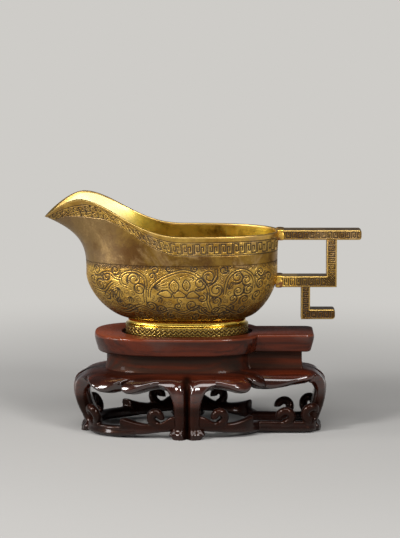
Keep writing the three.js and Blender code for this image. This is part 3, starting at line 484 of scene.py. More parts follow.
# Winding double stems, through places seen from the side
BELLY_STEMS = [
    [(-18.4, 20.5), (-18.2, 24.0), (-16.4, 27.0), (-11.2, 31.0), (-3.1, 33.9), (2.5, 33.1), (5.9, 31.0)],
    [(-20.3, 17.6), (-20.7, 22.4), (-20.1, 27.0), (-21.0, 30.4), (-24.4, 32.9), (-28.0, 33.3),
     (-31.4, 32.0), (-32.8, 29.4), (-31.8, 26.7), (-29.4, 25.6)],
    [(-32.8, 29.4), (-35.4, 29.9), (-37.8, 32.0), (-41.2, 31.6), (-43.0, 30.2)],
    [(5.9, 31.0), (9.0, 27.8), (10.7, 23.4), (10.6, 18.4), (11.8, 14.4)],
    [(14.4, 34.8), (14.6, 31.6), (13.0, 28.4), (9.8, 26.4)],
    [(18.6, 22.0), (19.1, 25.6), (20.2, 29.4), (23.0, 32.8), (27.5, 34.0), (31.6, 32.0),
     (33.3, 28.3), (33.0, 24.4)],
    [(-45.6, 23.4), (-41.0, 22.6), (-38.6, 25.6), (-36.6, 27.6)],
    [(-35.6, 13.8), (-29.4, 12.6), (-23.0, 15.8), (-14.6, 12.6), (-8.0, 14.6), (-1.4, 12.6), (5.6, 15.8),
     (11.4, 11.6), (17.6, 15.6), (24.4, 12.0), (31.0, 15.0)],
]
STEM_HALF_WIDTH = 0.62

# Feathered leaves: root along and height, first direction in degrees, length, fingers, spread
BELLY_LEAVES = [
    (-16.4, 25.4, 8, 7.0, 6, 62), (-33.6, 24.6, 235, 5.4, 7, 110), (-36.8, 23.4, 250, 4.2, 5, 90),
    (3.4, 30.6, 215, 2.6, 3, 60), (4.2, 24.2, 20, 3.0, 3, 50), (20.6, 24.6, 60, 3.4, 4, 70),
    (33.6, 30.8, 20, 3.6, 4, 80), (-27.8, 20.4, 260, 3.4, 5, 90), (-12.8, 20.6, 250, 3.0, 4, 80),
    (12.6, 20.6, 300, 3.2, 4, 80), (21.0, 33.6, 200, 2.6, 3, 60), (-29.8, 29.0, 350, 2.4, 3, 50),
]

LEAF_ROUNDING, FINGER_BOW = 1.2, 0.7

# Lotus: tall hatched petals (heart along, height, half width, length), then outlines of the open petals
TALL_PETALS = [(-6.2, 26.2, 2.35, 7.0), (-0.2, 26.8, 1.8, 6.0)]
OPEN_PETALS = [
    [(-7.2, 22.6), (-5.4, 23.3), (-3.8, 24.2), (-2.2, 23.2), (-0.4, 21.9), (-1.2, 20.5), (-3.0, 20.6),
     (-6.0, 20.4), (-7.2, 22.6)],
    [(-0.2, 21.4), (1.2, 23.2), (3.2, 24.0), (4.6, 22.8), (6.3, 21.4), (5.6, 20.3), (2.6, 20.3),
     (0.2, 20.2), (-0.2, 21.4)],
    [(-14.6, 22.2), (-12.4, 24.0), (-9.6, 24.3), (-7.8, 22.6), (-7.4, 20.8), (-10.4, 20.4), (-14.6, 22.2)],
]
PETAL_LEAN, PETAL_BOW = 0.3, 1.05
HATCH_PLACES, HATCH_BOW, HATCH_SHORTER = (-0.35, 0.0, 0.35), 1.3, 0.3
SMOOTH_SHARES = (0.15, 0.4, 0.65, 0.9)
LOTUS_BUD = [(-3.6, 29.4), (-3.2, 31.0), (-1.6, 31.8)]
LOTUS_TENDRIL = [(-4.2, 20.4), (-4.6, 18.6), (-3.6, 17.6), (-2.6, 18.4), (-3.4, 19.2)]

# Small curls in the gaps: room that one needs, greatest radius, room for a full turn, margin at the lines
GAP_ROOM, PETAL_ROOM = 1.0, 1.0
GAP_CURL_RADIUS = 2.1
GAP_FULL_ROOM = 1.6
GAP_MARGIN = 1.9
GAP_CURL_DEPTH = 0.75
GAP_CURL_LIMIT = 400
GAP_FULL_TURN, GAP_SHORT_TURN, GAP_FILL, GAP_TAIL = 1.25, 0.85, 0.66, 0.35
GOLDEN_ANGLE = 137.5
BELLY_SHEET_REACH = 2.6


def cut_curls(sheet):
    """Each curl of the belly, with a second short curl round its outside."""
    for along, height, radius, start, turns in BELLY_CURLS:
        centre = laid([(along, height)])[0]
        curl = spiral(centre, CURL_SIZE * radius, start, turns, CURL_TAIL)
        first = start - OUTER_CURL_LEAD * np.sign(turns)
        outer = spiral(centre, radius + OUTER_CURL_GAP, first, turns * OUTER_CURL_TURN)
        sheet.stroke(widened(curl, centre), CURL_STROKE)
        sheet.stroke(widened(outer, centre), FINE_STROKE)


def cut_stems(sheet):
    """Both edges of each winding stem."""
    for places in BELLY_STEMS:
        line = laid(smooth_line(places))
        for side in (-1, 1):
            sheet.stroke(beside(line, side * STEM_HALF_WIDTH), STEM_STROKE)


def cut_leaves(sheet):
    """Each leaf as a fan of bowed fingers from its root; a finger is shorter by the square of its share."""
    for along, height, way, length, fingers, spread in BELLY_LEAVES:
        root = laid([(along, height)])[0]
        for finger in range(fingers):
            share = finger / (fingers - 1) - 0.5
            angle = math.radians(-way + spread * share)
            reach = length * (1 - LEAF_ROUNDING * share * share)
            tip = root + reach * np.array([math.cos(angle), math.sin(angle)])
            sheet.stroke(bow(root, tip, FINGER_BOW * share), LEAF_STROKE)


def cut_lotus(sheet, petals):
    """The lotus: two bowed edges and three hatch lines on each tall petal, then the open petals. Outlines
    drawn in towards their middle fill the smooth inside of an open petal."""
    for heart, height, wide, tall in TALL_PETALS:
        ends = laid([(heart - PETAL_LEAN, height + tall / 2), (heart + PETAL_LEAN, height - tall / 2)])
        for side in (-1, 1):
            sheet.stroke(bow(*ends, PETAL_BOW * wide * side), BOLD_STROKE)
        hatch = mix(ends, ends.mean(0), HATCH_SHORTER)
        for place in HATCH_PLACES:
            sheet.stroke(bow(*hatch, HATCH_BOW * wide * place), HATCH_STROKE)
    for places in OPEN_PETALS:
        outline = laid(places)
        sheet.stroke(outline, BOLD_STROKE)
        for share in SMOOTH_SHARES:
            petals.stroke(mix(outline, outline.mean(0), share), SMOOTH_STROKE)
    sheet.stroke(laid(smooth_line(LOTUS_BUD)), FINE_STROKE)
    sheet.stroke(laid(smooth_line(LOTUS_TENDRIL)), THIN_STROKE)


def gap_curls(sheet, petals):
    """Hooked curls in the open ground: each goes to the place farthest from every line, until none has room.
    Its first angle moves on by the golden angle, and its sense of turn alternates."""
    curls = Engraving(sheet.low, sheet.low + SHEET_PITCH * (np.array(sheet.far.shape) - 1), sheet.reach)
    room = np.where(petals.far < PETAL_ROOM, 0, sheet.far)
    edge = int(GAP_MARGIN / SHEET_PITCH)
    for count in range(GAP_CURL_LIMIT):
        open_ground = np.minimum(room, curls.far)[:, edge:-2 * edge]
        spot = np.array(np.unravel_index(np.argmax(open_ground), open_ground.shape))
        free = open_ground[tuple(spot)]
        if free < GAP_ROOM:
            break
        centre = sheet.low + SHEET_PITCH * (spot + np.array([0, edge]))
        turns = (GAP_FULL_TURN if free > GAP_FULL_ROOM else GAP_SHORT_TURN) * (-1 if count % 2 else 1)
        radius = min(GAP_FILL * free, GAP_CURL_RADIUS)
        curl = spiral(centre, radius, GOLDEN_ANGLE * count, turns, GAP_TAIL * free)
        curls.stroke(widened(curl, centre), FINE_STROKE)
    return curls


def lotus_scroll():
    """Belly ornament of one side as three sheets [belly length, drop below the line]: a lotus under an
    arching stem with winding stems, curls and leaves, then its smooth petals, then the curls in the gaps."""
    low = (MIDDLE_LENGTH - SIDE_LENGTH - 0.5, -1)
    high = (MIDDLE_LENGTH + 0.5, BELLY_DROP + 1)
    sheet = Engraving(low, high, BELLY_SHEET_REACH)
    petals = Engraving(low, high)
    cut_curls(sheet)
    cut_stems(sheet)
    cut_leaves(sheet)
    cut_lotus(sheet, petals)
    return sheet, petals, gap_curls(sheet, petals)


def belly_piece(name, material, sheets, first_drop, last_drop):
    """One engraved ring of the belly between two lengths down the wall, with a plain back. The ground
    attribute marks the stippled ground around the smooth petals."""
    strokes, petals, curls = sheets
    turn = even_turns(FINE_COLUMNS)
    drop = np.linspace(first_drop, last_drop, BELLY_ROWS)
    height = np.interp(drop, DENSE_DROPS, DENSE_HEIGHTS)
    spot = np.broadcast_arrays(side_length(turn)[None, :], drop[:, None])
    depth = np.maximum(strokes.depth(*spot), GAP_CURL_DEPTH * curls.depth(*spot))
    outside = engraved(bowl_wall(turn, height[:, None]), depth)
    back_heights = np.maximum(np.linspace(height[-1], height[0], 3), BOWL_BOTTOM + BACK_INSET)
    back = bowl_wall(turn, back_heights[:, None], BACK_INSET)
    rings = boat_place(np.concatenate([outside, back]))
    piece = loop_piece(name, rings, material, with_plain(depth, len(back)))
    mark(piece, "ground", with_plain(1 - petals.depth(*spot), len(back)))
    return piece


# Neck, rim and inside of the bowl

TAPER_START, TAPER_LENGTH, TIP_BAND_SHARE = 52.0, 19.0, 0.22
PLAIN_LIP = LIP_WIDTH - 0.7
WORN_WIDTH, WORN_FALL, BAND_FALL = 0.1, 0.6, 0.4
BELLY_LINE_FLOOR, BELLY_LINE_FALL = 0.05, 0.3
LINE_ROWS_SHARE = 0.05
LINER_ROW_POWER = 0.8
FRET_PITCH, FRET_MARGIN = 3.3, 0.85
FRET_HOOK = np.array([(0.04, 1.0), (0.04, 0.0), (0.78, 0.0), (0.78, 0.74), (0.4, 0.74), (0.4, 0.3)])
FRET_TURNED = np.array([0.82, 1.0]) - FRET_HOOK
PANEL_PITCH, PANEL_START, PANEL_CURL = 3.3, 1.6, 1.4
PANEL_ROWS, PANEL_ROW_DROP, PANEL_ROW_PITCH = 2, 1.8, 3.1
PANEL_SEED, PANEL_SHIFT, PANEL_SWAY, PANEL_TURNS = 7, 0.3, 0.2, 1.2


def key_fret(low, high):
    """Band of squared hooks between two lines; each second one is turned over, so that they interlock."""
    sheet = Engraving((low, LIP_WIDTH - 1), (high, FRET_BOTTOM + 1))
    for edge in (LIP_WIDTH, FRET_BOTTOM):
        sheet.stroke([(low, edge), (high, edge)], KEY_STROKE)
    box = np.array([FRET_PITCH, FRET_BOTTOM - LIP_WIDTH - 2 * FRET_MARGIN])
    for index in range(int((high - low) / FRET_PITCH)):
        corner = np.array([low + index * FRET_PITCH, LIP_WIDTH + FRET_MARGIN])
        sheet.stroke(corner + (FRET_TURNED if index % 2 else FRET_HOOK) * box, BOLD_STROKE)
    return sheet


def scroll_panel(low, high):
    """Leafy curls in two rows that fill the band along the spout: [length along the rim, drop below it]."""
    sheet = Engraving((low, LIP_WIDTH - 1), (high, FRET_BOTTOM + 1))
    rng = np.random.default_rng(PANEL_SEED)
    for edge in (LIP_WIDTH, FRET_BOTTOM):
        sheet.stroke([(low, edge), (high, edge)], THIN_STROKE)
    for row in range(PANEL_ROWS):
        for column in range(int((high - low) / PANEL_PITCH)):
            along = low + PANEL_START + PANEL_PITCH * column + PANEL_START * row
            along += rng.uniform(-PANEL_SHIFT, PANEL_SHIFT)
            drop = LIP_WIDTH + PANEL_ROW_DROP + PANEL_ROW_PITCH * row
            drop += rng.uniform(-PANEL_SWAY, PANEL_SWAY)
            turns = PANEL_TURNS if (row + column) % 2 else -PANEL_TURNS
            sheet.stroke(spiral((along, drop), PANEL_CURL, rng.uniform(0, 360), turns), CURL_STROKE)
    return sheet


def band_taper(turn):
    """The bands under the rim grow narrower, in drop, from the crest to the slanting tip of the spout."""
    return mix(1.0, TIP_BAND_SHARE, smooth((-rim_line(turn)[0] - TAPER_START) / TAPER_LENGTH))


def band_depth(turn, drop):
    """Groove depth of the band under the rim, by the length along the rim from the middle of a side:
    key fret towards the handle, leafy curls along the spout and nothing on the lip."""
    rim_lengths = running_length(np.stack(rim_line(DENSE_TURNS), -1))
    middle = np.interp(1.0, DENSE_TURNS, rim_lengths)
    along = np.broadcast_to(middle - np.interp(np.abs(turn), DENSE_TURNS, rim_lengths), drop.shape)
    fret = key_fret(FRET_START, middle + 0.5)
    panel = scroll_panel(middle - rim_lengths[-1] - 1, FRET_START)
    depth = np.where(along > FRET_START, fret.depth(along, drop), panel.depth(along, drop))
    return depth * (drop > PLAIN_LIP)


def neck_piece(name, material):
    """Plain neck between the belly line and the band under the rim, with the belly line's groove; its rows
    are closest at that line."""
    turn = even_turns(FINE_COLUMNS)
    top = rim_line(turn)[2] - BAND_DROP * band_taper(turn)
    line_rows, plain_rows = np.linspace(0, LINE_ROWS_SHARE, 6), np.linspace(LINE_ROWS_SHARE, 1, 22)[1:]
    share = np.concatenate([line_rows, plain_rows])[:, None]
    height = mix(BELLY_LINE, top, share)
    depth = 1 - smooth((height - BELLY_LINE - BELLY_LINE_FLOOR) / BELLY_LINE_FALL)
    outside = engraved(bowl_wall(turn, height), depth)
    back = bowl_wall(turn, mix(top, BELLY_LINE, np.linspace(0, 1, 4)[:, None]), BACK_INSET)
    rings = boat_place(np.concatenate([outside, back]))
    return loop_piece(name, rings, material, with_plain(depth, len(back)))


def rim_piece(name, material):
    """Band under the rim, then the rounded lip, a half circle laid from the outer to the inner rim line,
    and a little way down inside. The worn attribute marks the bright lip, the band attribute all of it."""
    turn = even_turns(FINE_COLUMNS)
    taper = band_taper(turn)
    outer_rim, inner_rim = (np.stack(rim_line(turn, inset), -1) for inset in (0.0, WALL))
    drop = np.broadcast_to(np.linspace(BAND_DROP, 0, RIM_ROWS)[:, None], (RIM_ROWS, len(turn)))
    height = outer_rim[:, 2] - drop * taper
    depth = band_depth(turn, drop)
    outside = engraved(bowl_wall(turn, height), depth)
    arc = np.radians([30, 60, 90, 120, 150])[:, None, None]
    lip = mix(outer_rim, inner_rim, (1 - np.cos(arc)) / 2) + LIP_ROUND * np.sin(arc) * np.array([0, 0, 1])
    seam = np.array([0.0, LINER_SEAM / 2, LINER_SEAM])[:, None]
    inside = bowl_wall(turn, inner_rim[:, 2] - seam, WALL)
    back_top = rim_line(turn, BACK_INSET)[2] - LINER_SEAM * taper
    back = bowl_wall(turn, mix(back_top, height[0], np.linspace(0, 1, 5)[:, None]), BACK_INSET)
    rings = boat_place(np.concatenate([outside, lip, inside, back]))
    rest = len(rings) - RIM_ROWS
    piece = loop_piece(name, rings, material, with_plain(depth, rest))
    mark(piece, "worn", with_plain(1 - smooth((drop - WORN_WIDTH) / WORN_FALL), rest, 1.0))
    mark(piece, "band", with_plain(1 - smooth((drop - FRET_BOTTOM) / BAND_FALL), rest, 1.0))
    return piece


def drawn_in(ring, shares, height):
    """Copies of a ring drawn in to its middle by each share, all at one height."""
    rows = ring[None, :, :2] * shares[:, None, None]
    return np.concatenate([rows, np.full((*rows.shape[:2], 1), height)], -1)


def liner_piece(name, material):
    """Inside of the bowl with its thick bottom: the underside, a back inside the wall, the smooth inner skin
    and the floor, each from rings of the bowl's wall."""
    turn = even_turns(LINER_COLUMNS)
    start, bottom = BOWL_BOTTOM + LINER_INSET, BOWL_BOTTOM + WALL
    inner_top, back_top = (rim_line(turn, inset)[2] - LINER_SEAM for inset in (WALL, LINER_INSET))
    under = drawn_in(bowl_wall(turn, start, LINER_INSET), np.linspace(0.08, 1, 10), BOWL_BOTTOM)
    under[-1, :, 2] = start
    back = bowl_wall(turn, mix(start, back_top, np.linspace(0, 1, 30)[1:, None]), LINER_INSET)
    inside = bowl_wall(turn, mix(inner_top, bottom, np.linspace(0, 1, 60)[:, None] ** LINER_ROW_POWER), WALL)
    floor = drawn_in(inside[-1], np.linspace(1, 0.06, 12)[1:], bottom)
    rings = boat_place(np.concatenate([under, back, inside, floor]))
    ends = boat_place(np.array([(0, 0, BOWL_BOTTOM), (0, 0, bottom)]))
    return capped_piece(name, rings, material, None, ends)


# Foot ring

FOOT_REACH = 29.7
FOOT_HALF_WIDTH = 18.0
FOOT_TOP = 7.2
FOOT_BAND_TOP = 4.0
FOOT_BOTTOM = -1.7
FOOT_BACK, FOOT_BAND_OUT = -2.2, 1.0
FOOT_SEEN = (2.1, 12.6)
FOOT_GROOVE_SHARE = 0.006
CHEVRONS, CHEVRON_COLUMNS = 60, 14
CHEVRON_START, CHEVRON_TALL = 0.2, FOOT_BAND_TOP - 0.8
CHEVRON_SLOPE, CHEVRON_ROWS = 0.45, 1.7
CHEVRON_FLOOR, CHEVRON_FALL = 0.13, 0.14
FOOT_LINE, FOOT_LINE_FLOOR, FOOT_LINE_FALL = FOOT_BAND_TOP - 0.3, 0.06, 0.14
ON_BAND, NEAR_BAND = 0.9, 0.5


def rounded_profile(corners):
    """Profile through corners [distance, height, radius]. A corner with a radius is cut off that far along
    both its sides and turned by a quadratic curve."""
    made = []
    share = np.linspace(0, 1, 6)[:, None]
    for index, (*corner, radius) in enumerate(corners):
        here = np.array(corner)
        before = np.array(corners[index - 1][:2]) - here
        after = np.array(corners[(index + 1) % len(corners)][:2]) - here
        if radius == 0:
            made.append(here)
            continue
        first = here + unit(before) * radius
        last = here + unit(after) * radius
        made += list((1 - share) ** 2 * first + 2 * share * (1 - share) * here + share ** 2 * last)
    return np.array(made)


def foot_section():
    """Rows of the foot's profile [distance out, height], closest together on the stretch that shows."""
    profile = rounded_profile([
        (FOOT_BACK, FOOT_TOP, 0), (0.15, FOOT_TOP, 0.12), (-0.5, FOOT_TOP - 1.3, 0.9),
        (0.05, FOOT_BAND_TOP + 0.45, 0.8), (FOOT_BAND_OUT, FOOT_BAND_TOP + 0.15, 0.3),
        (FOOT_BAND_OUT, FOOT_BOTTOM, 0.5), (FOOT_BACK, FOOT_BOTTOM, 0)])
    profile = np.concatenate([profile, profile[:1]])
    steps = running_length(profile)
    rows = np.concatenate([
        np.linspace(0, FOOT_SEEN[0], 5)[:-1], np.linspace(*FOOT_SEEN, 88),
        np.linspace(FOOT_SEEN[1], steps[-1], 12)[1:-1]])
    return [np.interp(rows, steps, profile[:, column])[:, None] for column in (0, 1)]


def foot_piece(name, material):
    """Foot ring: its section carried round the foot's oval. Its upper band is hollow and polished; its
    upright lower band carries rows of engraved chevrons, zigzags of the length round it, under one line."""
    out, height = foot_section()
    turn = even_turns(CHEVRON_COLUMNS * CHEVRONS)
    x, y = oval(turn, FOOT_REACH + out, FOOT_REACH + out, FOOT_HALF_WIDTH + out)
    rings = np.stack(np.broadcast_arrays(x, y, height), -1)
    middle = rings[len(rings) // 2]
    around = running_length(np.concatenate([middle, middle[:1]]))
    zigzag = np.abs((around[:-1] / around[-1] * CHEVRONS % 1) * 2 - 1)
    share = (height - CHEVRON_START) / CHEVRON_TALL
    on_band = (out > ON_BAND) & (share > 0) & (share < 1)
    gap = np.abs(((CHEVRON_SLOPE * zigzag - share) * CHEVRON_ROWS) % 1 - 0.5)
    chevrons = (1 - smooth((gap - CHEVRON_FLOOR) / CHEVRON_FALL)) * on_band
    line = 1 - smooth((np.abs(height - FOOT_LINE) - FOOT_LINE_FLOOR) / FOOT_LINE_FALL)
    depth = np.maximum(chevrons, line * (out > NEAR_BAND))
    rings[..., :2] *= (1 - FOOT_GROOVE_SHARE * depth)[..., None]
    piece = loop_piece(name, boat_place(rings), material, depth)
    low_band = (out > NEAR_BAND) & (height < FOOT_BAND_TOP - 0.1)
    mark(piece, "ground", np.broadcast_to(low_band, depth.shape))
    return piece


# Handle: bars of rounded square section, their middle lines and half thicknesses

BAR_DEPTH = 10.0
BAR_EDGE = 0.7
BAR_ROUND, NOSE_INSET = 1.5, 0.85
BAR_STEP = 0.12
BAR_BORDER = 0.85
HOOK_PITCH, HOOK_SPAN, HOOK_MARGIN = 3.0, (0.17, 0.83), 0.25
KEY_HOOK = [(0, 0), (0, 1), (1, 1), (1, 0.1), (0.5, 0.1), (0.5, 0.55)]
HATCH_PITCH, HATCH_LENGTH, HATCH_FLOOR, HATCH_FALL = 1.25, 3.75, 0.12, 0.2
FACE_SLACK = 0.02
BAR_OVERRUN = 0.5
NOSE_PLAIN = 1.1
TOP_MIDDLE, TOP_HALF = 48.8, 2.5
LOWER_MIDDLE, LOWER_HALF = 25.3, 2.8
UPRIGHT_MIDDLE, UPRIGHT_HALF = 72.175, 2.575
DROP_MIDDLE, DROP_HALF = 59.25, 2.25
HOOK_MIDDLE, HOOK_HALF = 8.8, 2.5
TOP_ROOT, TOP_END = 46.5, 87.0
LOWER_ROOT, HOOK_END = 45.5, 74.0
BUTT_GAP, MITRE_GAP = 0.02, 0.05
BRAZE_EDGE, BRAZE_GROWTH, BRAZE_HALF_LENGTH = 0.6, 0.32, 1.7
UPPER_BRAZE_X, LOWER_BRAZE_X = 46.6, 45.9


class RoundedBox:
    """Loop of points round a box with rounded corners, from the front face. Each direction has two numbers
    a point, flat and round: place = flat * (half size - radius) + round * radius. The second half of the
    loop is the first with all signs turned."""

    def __init__(self, face, side, corner):
        arc = np.linspace(0, np.pi / 2, corner + 2)[1:-1]
        one, zero = np.ones, np.zeros
        halves = (
            (np.linspace(-1, 1, face), one(corner), one(side), one(corner)),
            (zero(face), np.sin(arc), one(side), np.cos(arc)),
            (one(face), one(corner), np.linspace(1, -1, side), -one(corner)),
            (one(face), np.cos(arc), zero(side), -np.sin(arc)),
        )
        loops = [np.concatenate([*half, *(-part for part in half)]) for half in halves]
        self.flat_across, self.round_across, self.flat_through, self.round_through = loops

    def places(self, half_width, half_depth, radius):
        """Places across and through of all points, for one size or a column of sizes."""
        across = self.flat_across * (half_width - radius) + self.round_across * radius
        through = self.flat_through * (half_depth - radius) + self.round_through * radius
        return across, through


def key_hook(low, high, index):
    """Squared hook inside a box: up one side, over, down the other side and back in. Every second hook is
    turned round, and every third runs the other way."""
    corners = np.array(KEY_HOOK)
    if index % 2:
        corners = 1 - corners
    if index % 3 == 2:
        corners[:, 0] = 1 - corners[:, 0]
    return np.array(low) + corners * (np.array(high) - np.array(low))


def bar_hooks(length, half, border):
    """Sheet for a bar's faces: squared hooks at an even pitch, as many as fit at about HOOK_PITCH."""
    sheet = Engraving((-4, -half), (length + 4, half))
    run = length + 2 * BAR_OVERRUN
    count = max(1, round(run / HOOK_PITCH))
    pitch = run / count
    for index in range(count):
        start, end = (-BAR_OVERRUN + (index + share) * pitch for share in HOOK_SPAN)
        low, high = (start, -border + HOOK_MARGIN), (end, border - HOOK_MARGIN)
        sheet.stroke(key_hook(low, high, index), KEY_STROKE)
    return sheet


def bar_rows(length, rounded):
    """Shares along a bar and how far each section is drawn in. A rounded end has rows that crowd towards
    it by a sine, and is drawn in on a circle of BAR_ROUND."""
    share = np.linspace(0, 1, int(length / BAR_STEP) + 2)
    if not rounded:
        return share, np.zeros_like(share)
    nose = BAR_ROUND / length
    crowd = 1 - np.sin(np.linspace(0, np.pi / 2, 14))
    share = np.concatenate([share[share < 1 - nose], 1 - nose * crowd])
    inside = np.clip(1 - (1 - share) * length / BAR_ROUND, 0, 1)
    return share, BAR_ROUND * (1 - np.sqrt(1 - inside ** 2)) * NOSE_INSET


def bar_piece(name, material, start, end, half, shear=(0.0, 0.0), rounded=False, upright=False, hatch=False):
    """A handle bar along X, or down Z if upright, from start to end about its middle line. shear slants its
    ends for the mitres; rounded closes its far end in a soft nose. Front and back faces carry squared hooks
    between plain borders, and with hatch some lines along the far mitre. The edges are marked as worn."""
    (x0, z0), (x1, z1) = start, end
    length = math.hypot(x1 - x0, z1 - z0)
    share, inset = (row[:, None] for row in bar_rows(length, rounded))
    loop = RoundedBox(46, 10, 5)
    across, through = loop.places(half - inset, BAR_DEPTH / 2 - inset, BAR_EDGE)
    along = mix(shear[0] * across, length + shear[1] * across, share)
    border = half - BAR_BORDER
    depth = bar_hooks(length, half, border).depth(along, across)
    if hatch:
        before = length + shear[1] * across - along
        lines = 1 - smooth((np.abs(before / HATCH_PITCH % 1 - 0.5) - HATCH_FLOOR) / HATCH_FALL)
        depth = np.where((before < HATCH_LENGTH) & (np.abs(across) < border), lines, depth)
    if rounded:
        depth = depth * ((1 - share) * length > NOSE_PLAIN)
    depth = depth * (np.abs(through) > BAR_DEPTH / 2 - inset - FACE_SLACK)
    through = through - np.sign(through) * depth * GROOVE_DEPTH
    if upright:
        points = np.stack([x0 + across, through, z0 - along], -1)
    else:
        points = np.stack([x0 + along, -through, z0 + across], -1)
    piece = capped_piece(name, boat_place(points), material, depth)
    edges = np.broadcast_to((loop.round_across != 0) & (loop.round_through != 0), depth.shape)
    mark(piece, "worn", np.concatenate([edges.ravel(), [1, 1]]))
    return piece


def braze_piece(name, material, x, z, half):
    """Braze metal: a thin soft sleeve round the root of a bar, about x. Its section is an oval ring, and
    sines across and through make it a little lumpy."""
    loop = RoundedBox(20, 34, 8)
    turns = np.linspace(0, 2 * np.pi, 20, endpoint=False)[:, None]
    across, through = loop.places(half, BAR_DEPTH / 2, BRAZE_EDGE)
    lump = 1 + 0.3 * np.sin(1.7 * across + 0.9 * through) + 0.2 * np.sin(1.3 * through - 1.1 * across)
    grow = np.cos(turns) * BRAZE_GROWTH * lump
    points = np.stack([
        x + np.sin(turns) * BRAZE_HALF_LENGTH * lump ** 0.5,
        through + loop.round_through * grow,
        z + across + loop.round_across * grow], -1)
    return loop_piece(name, boat_place(points), material)


# Stand: plan outlines

PLAN_POWER = 2.8
PLAN_KEYS = ("spout", "handle", "side", "tongue", "tongue_side", "corner")
BOARD_PLAN = dict(zip(PLAN_KEYS, (46.2, 37.0, 28.0, 63.4, 13.7, 4.5)))
BULGE_PLAN = dict(zip(PLAN_KEYS, (56.0, 42.0, 33.0, 69.0, 17.7, 9.0)))
LEAST_CORNER = 0.2
STAND_COLUMNS = 520
BOARD_UNDERSIDE = 41.0
BASE_HEIGHT = 32.0
SHELL_THICKNESS = 5.0
BULGE_SIDE = 11.0
WAIST_INSET = 6.0
WAIST_THICKNESS, WAIST_FLARE, FLARE_SHARE = 4.0, 0.8, 0.45
WAIST_GAP = 0.05
RECESS_REACH, RECESS_HALF_WIDTH, RECESS_DEPTH = 32.7, 21.0, 2.0


def grown(plan, amount):
    """A plan moved outwards all round by the same amount."""
    moved = {key: value + amount for key, value in plan.items()}
    moved["corner"] = np.maximum(LEAST_CORNER, moved["corner"])
    return moved


WAIST_PLAN = grown(BOARD_PLAN, -WAIST_INSET)


def power_oval(along, across, reach, half_width, power):
    """Distance from the centre to an oval in the direction (along, across):
    (|along / reach| ^ power + |across / half width| ^ power) ^ (-1 / power)."""
    return ((np.abs(along) / reach) ** power + (np.abs(across) / half_width) ** power) ** (-1 / power)


def outline_spot(plan, place):
    """Place on half an outline, 0 to 5: the tongue's flat end, its corner, its side, then the power oval
    from the tongue to its widest, and from there to the spout end."""
    part = np.minimum(place.astype(int), 4)
    share = place - part
    side, tongue_side, corner = plan["side"], plan["tongue_side"], plan["corner"]
    end = plan["tongue"] + 0 * share
    join = plan["handle"] * (1 - (tongue_side / side) ** PLAN_POWER) ** (1 / PLAN_POWER)
    first = np.arctan2(tongue_side, join)
    angle = np.where(part == 3, mix(first, np.pi / 2, share), mix(np.pi / 2, np.pi, share))
    along, across = np.cos(angle), np.sin(angle)
    radius = power_oval(along, across, np.where(along < 0, plan["spout"], plan["handle"]), side, PLAN_POWER)
    quarter = share * np.pi / 2
    tongue_x = [end, end - corner * (1 - np.cos(quarter)), mix(end - corner, join, share)]
    tongue_y = [
        share * (tongue_side - corner), tongue_side - corner * (1 - np.sin(quarter)),
        tongue_side + 0 * share]
    on_tongue = [part == 0, part == 1, part == 2]
    return np.select(on_tongue, tongue_x, radius * along), np.select(on_tongue, tongue_y, radius * across)


# Lengths along half the bulge's outline, from the handle end
MARK_PLACES = np.linspace(0, 5, 2001)
MARK_LENGTHS = running_length(np.stack(outline_spot(BULGE_PLAN, MARK_PLACES), -1))
HALF_OUTLINE = MARK_LENGTHS[-1]
SIDE_LEG = np.interp(4.0, MARK_PLACES, MARK_LENGTHS)


def plan_point(plan, length):
    """Plan point at a length along the bulge from the handle end, positive behind and negative in front."""
    side = np.where(np.sin(length / HALF_OUTLINE * np.pi) < 0, -1, 1)
    folded = np.abs(length) % (2 * HALF_OUTLINE)
    folded = np.where(folded > HALF_OUTLINE, 2 * HALF_OUTLINE - folded, folded)
    x, y = outline_spot(plan, np.interp(folded, MARK_LENGTHS, MARK_PLACES))
    return x, side * y


def plan_rings(profile):
    """Rings from a profile [plan, height], all with the same columns."""
    length = np.linspace(0, 2 * HALF_OUTLINE, STAND_COLUMNS, endpoint=False)
    rings = [(*plan_point(plan, length), np.full(STAND_COLUMNS, height)) for plan, height in profile]
    return np.array(rings).transpose(0, 2, 1)


def stand_place(points):
    """From the stand's own measures, about the foot's centre, to the whole object's."""
    return points + np.array([FOOT_X, 0, 0])


def board_piece(name, material):
    """Top board with softly rounded edges, slanting in a little below, and the recess for the foot, whose
    power oval has a small chamfer."""
    edge = rounded_profile([
        (-9.0, BOARD_UNDERSIDE, 0), (-1.8, BOARD_UNDERSIDE, 0.9), (0.0, BOARD_TOP - 2.6, 1.4),
        (0.0, BOARD_TOP, 1.1), (-6.0, BOARD_TOP, 0)])[:-1]
    outside = plan_rings([(grown(BOARD_PLAN, out), height) for out, height in edge])
    turn = np.arctan2(outside[-1][:, 1], outside[-1][:, 0])
    along, across = np.cos(turn), np.sin(turn)
    chamfer = np.array([(0.5, 0.0), (0.15, 0.12), (0.0, 0.5), (0.0, RECESS_DEPTH)])[:, :, None]
    radius = power_oval(along, across, RECESS_REACH, RECESS_HALF_WIDTH, ROUND_POWER) + chamfer[:, 0]
    recess = np.stack(np.broadcast_arrays(radius * along, radius * across, BOARD_TOP - chamfer[:, 1]), -1)
    rings = stand_place(np.concatenate([outside, recess]))
    ends = stand_place(np.array([(0, 0, BOARD_UNDERSIDE), (0, 0, BOARD_TOP - RECESS_DEPTH)]))
    return capped_piece(name, rings, material, None, ends)


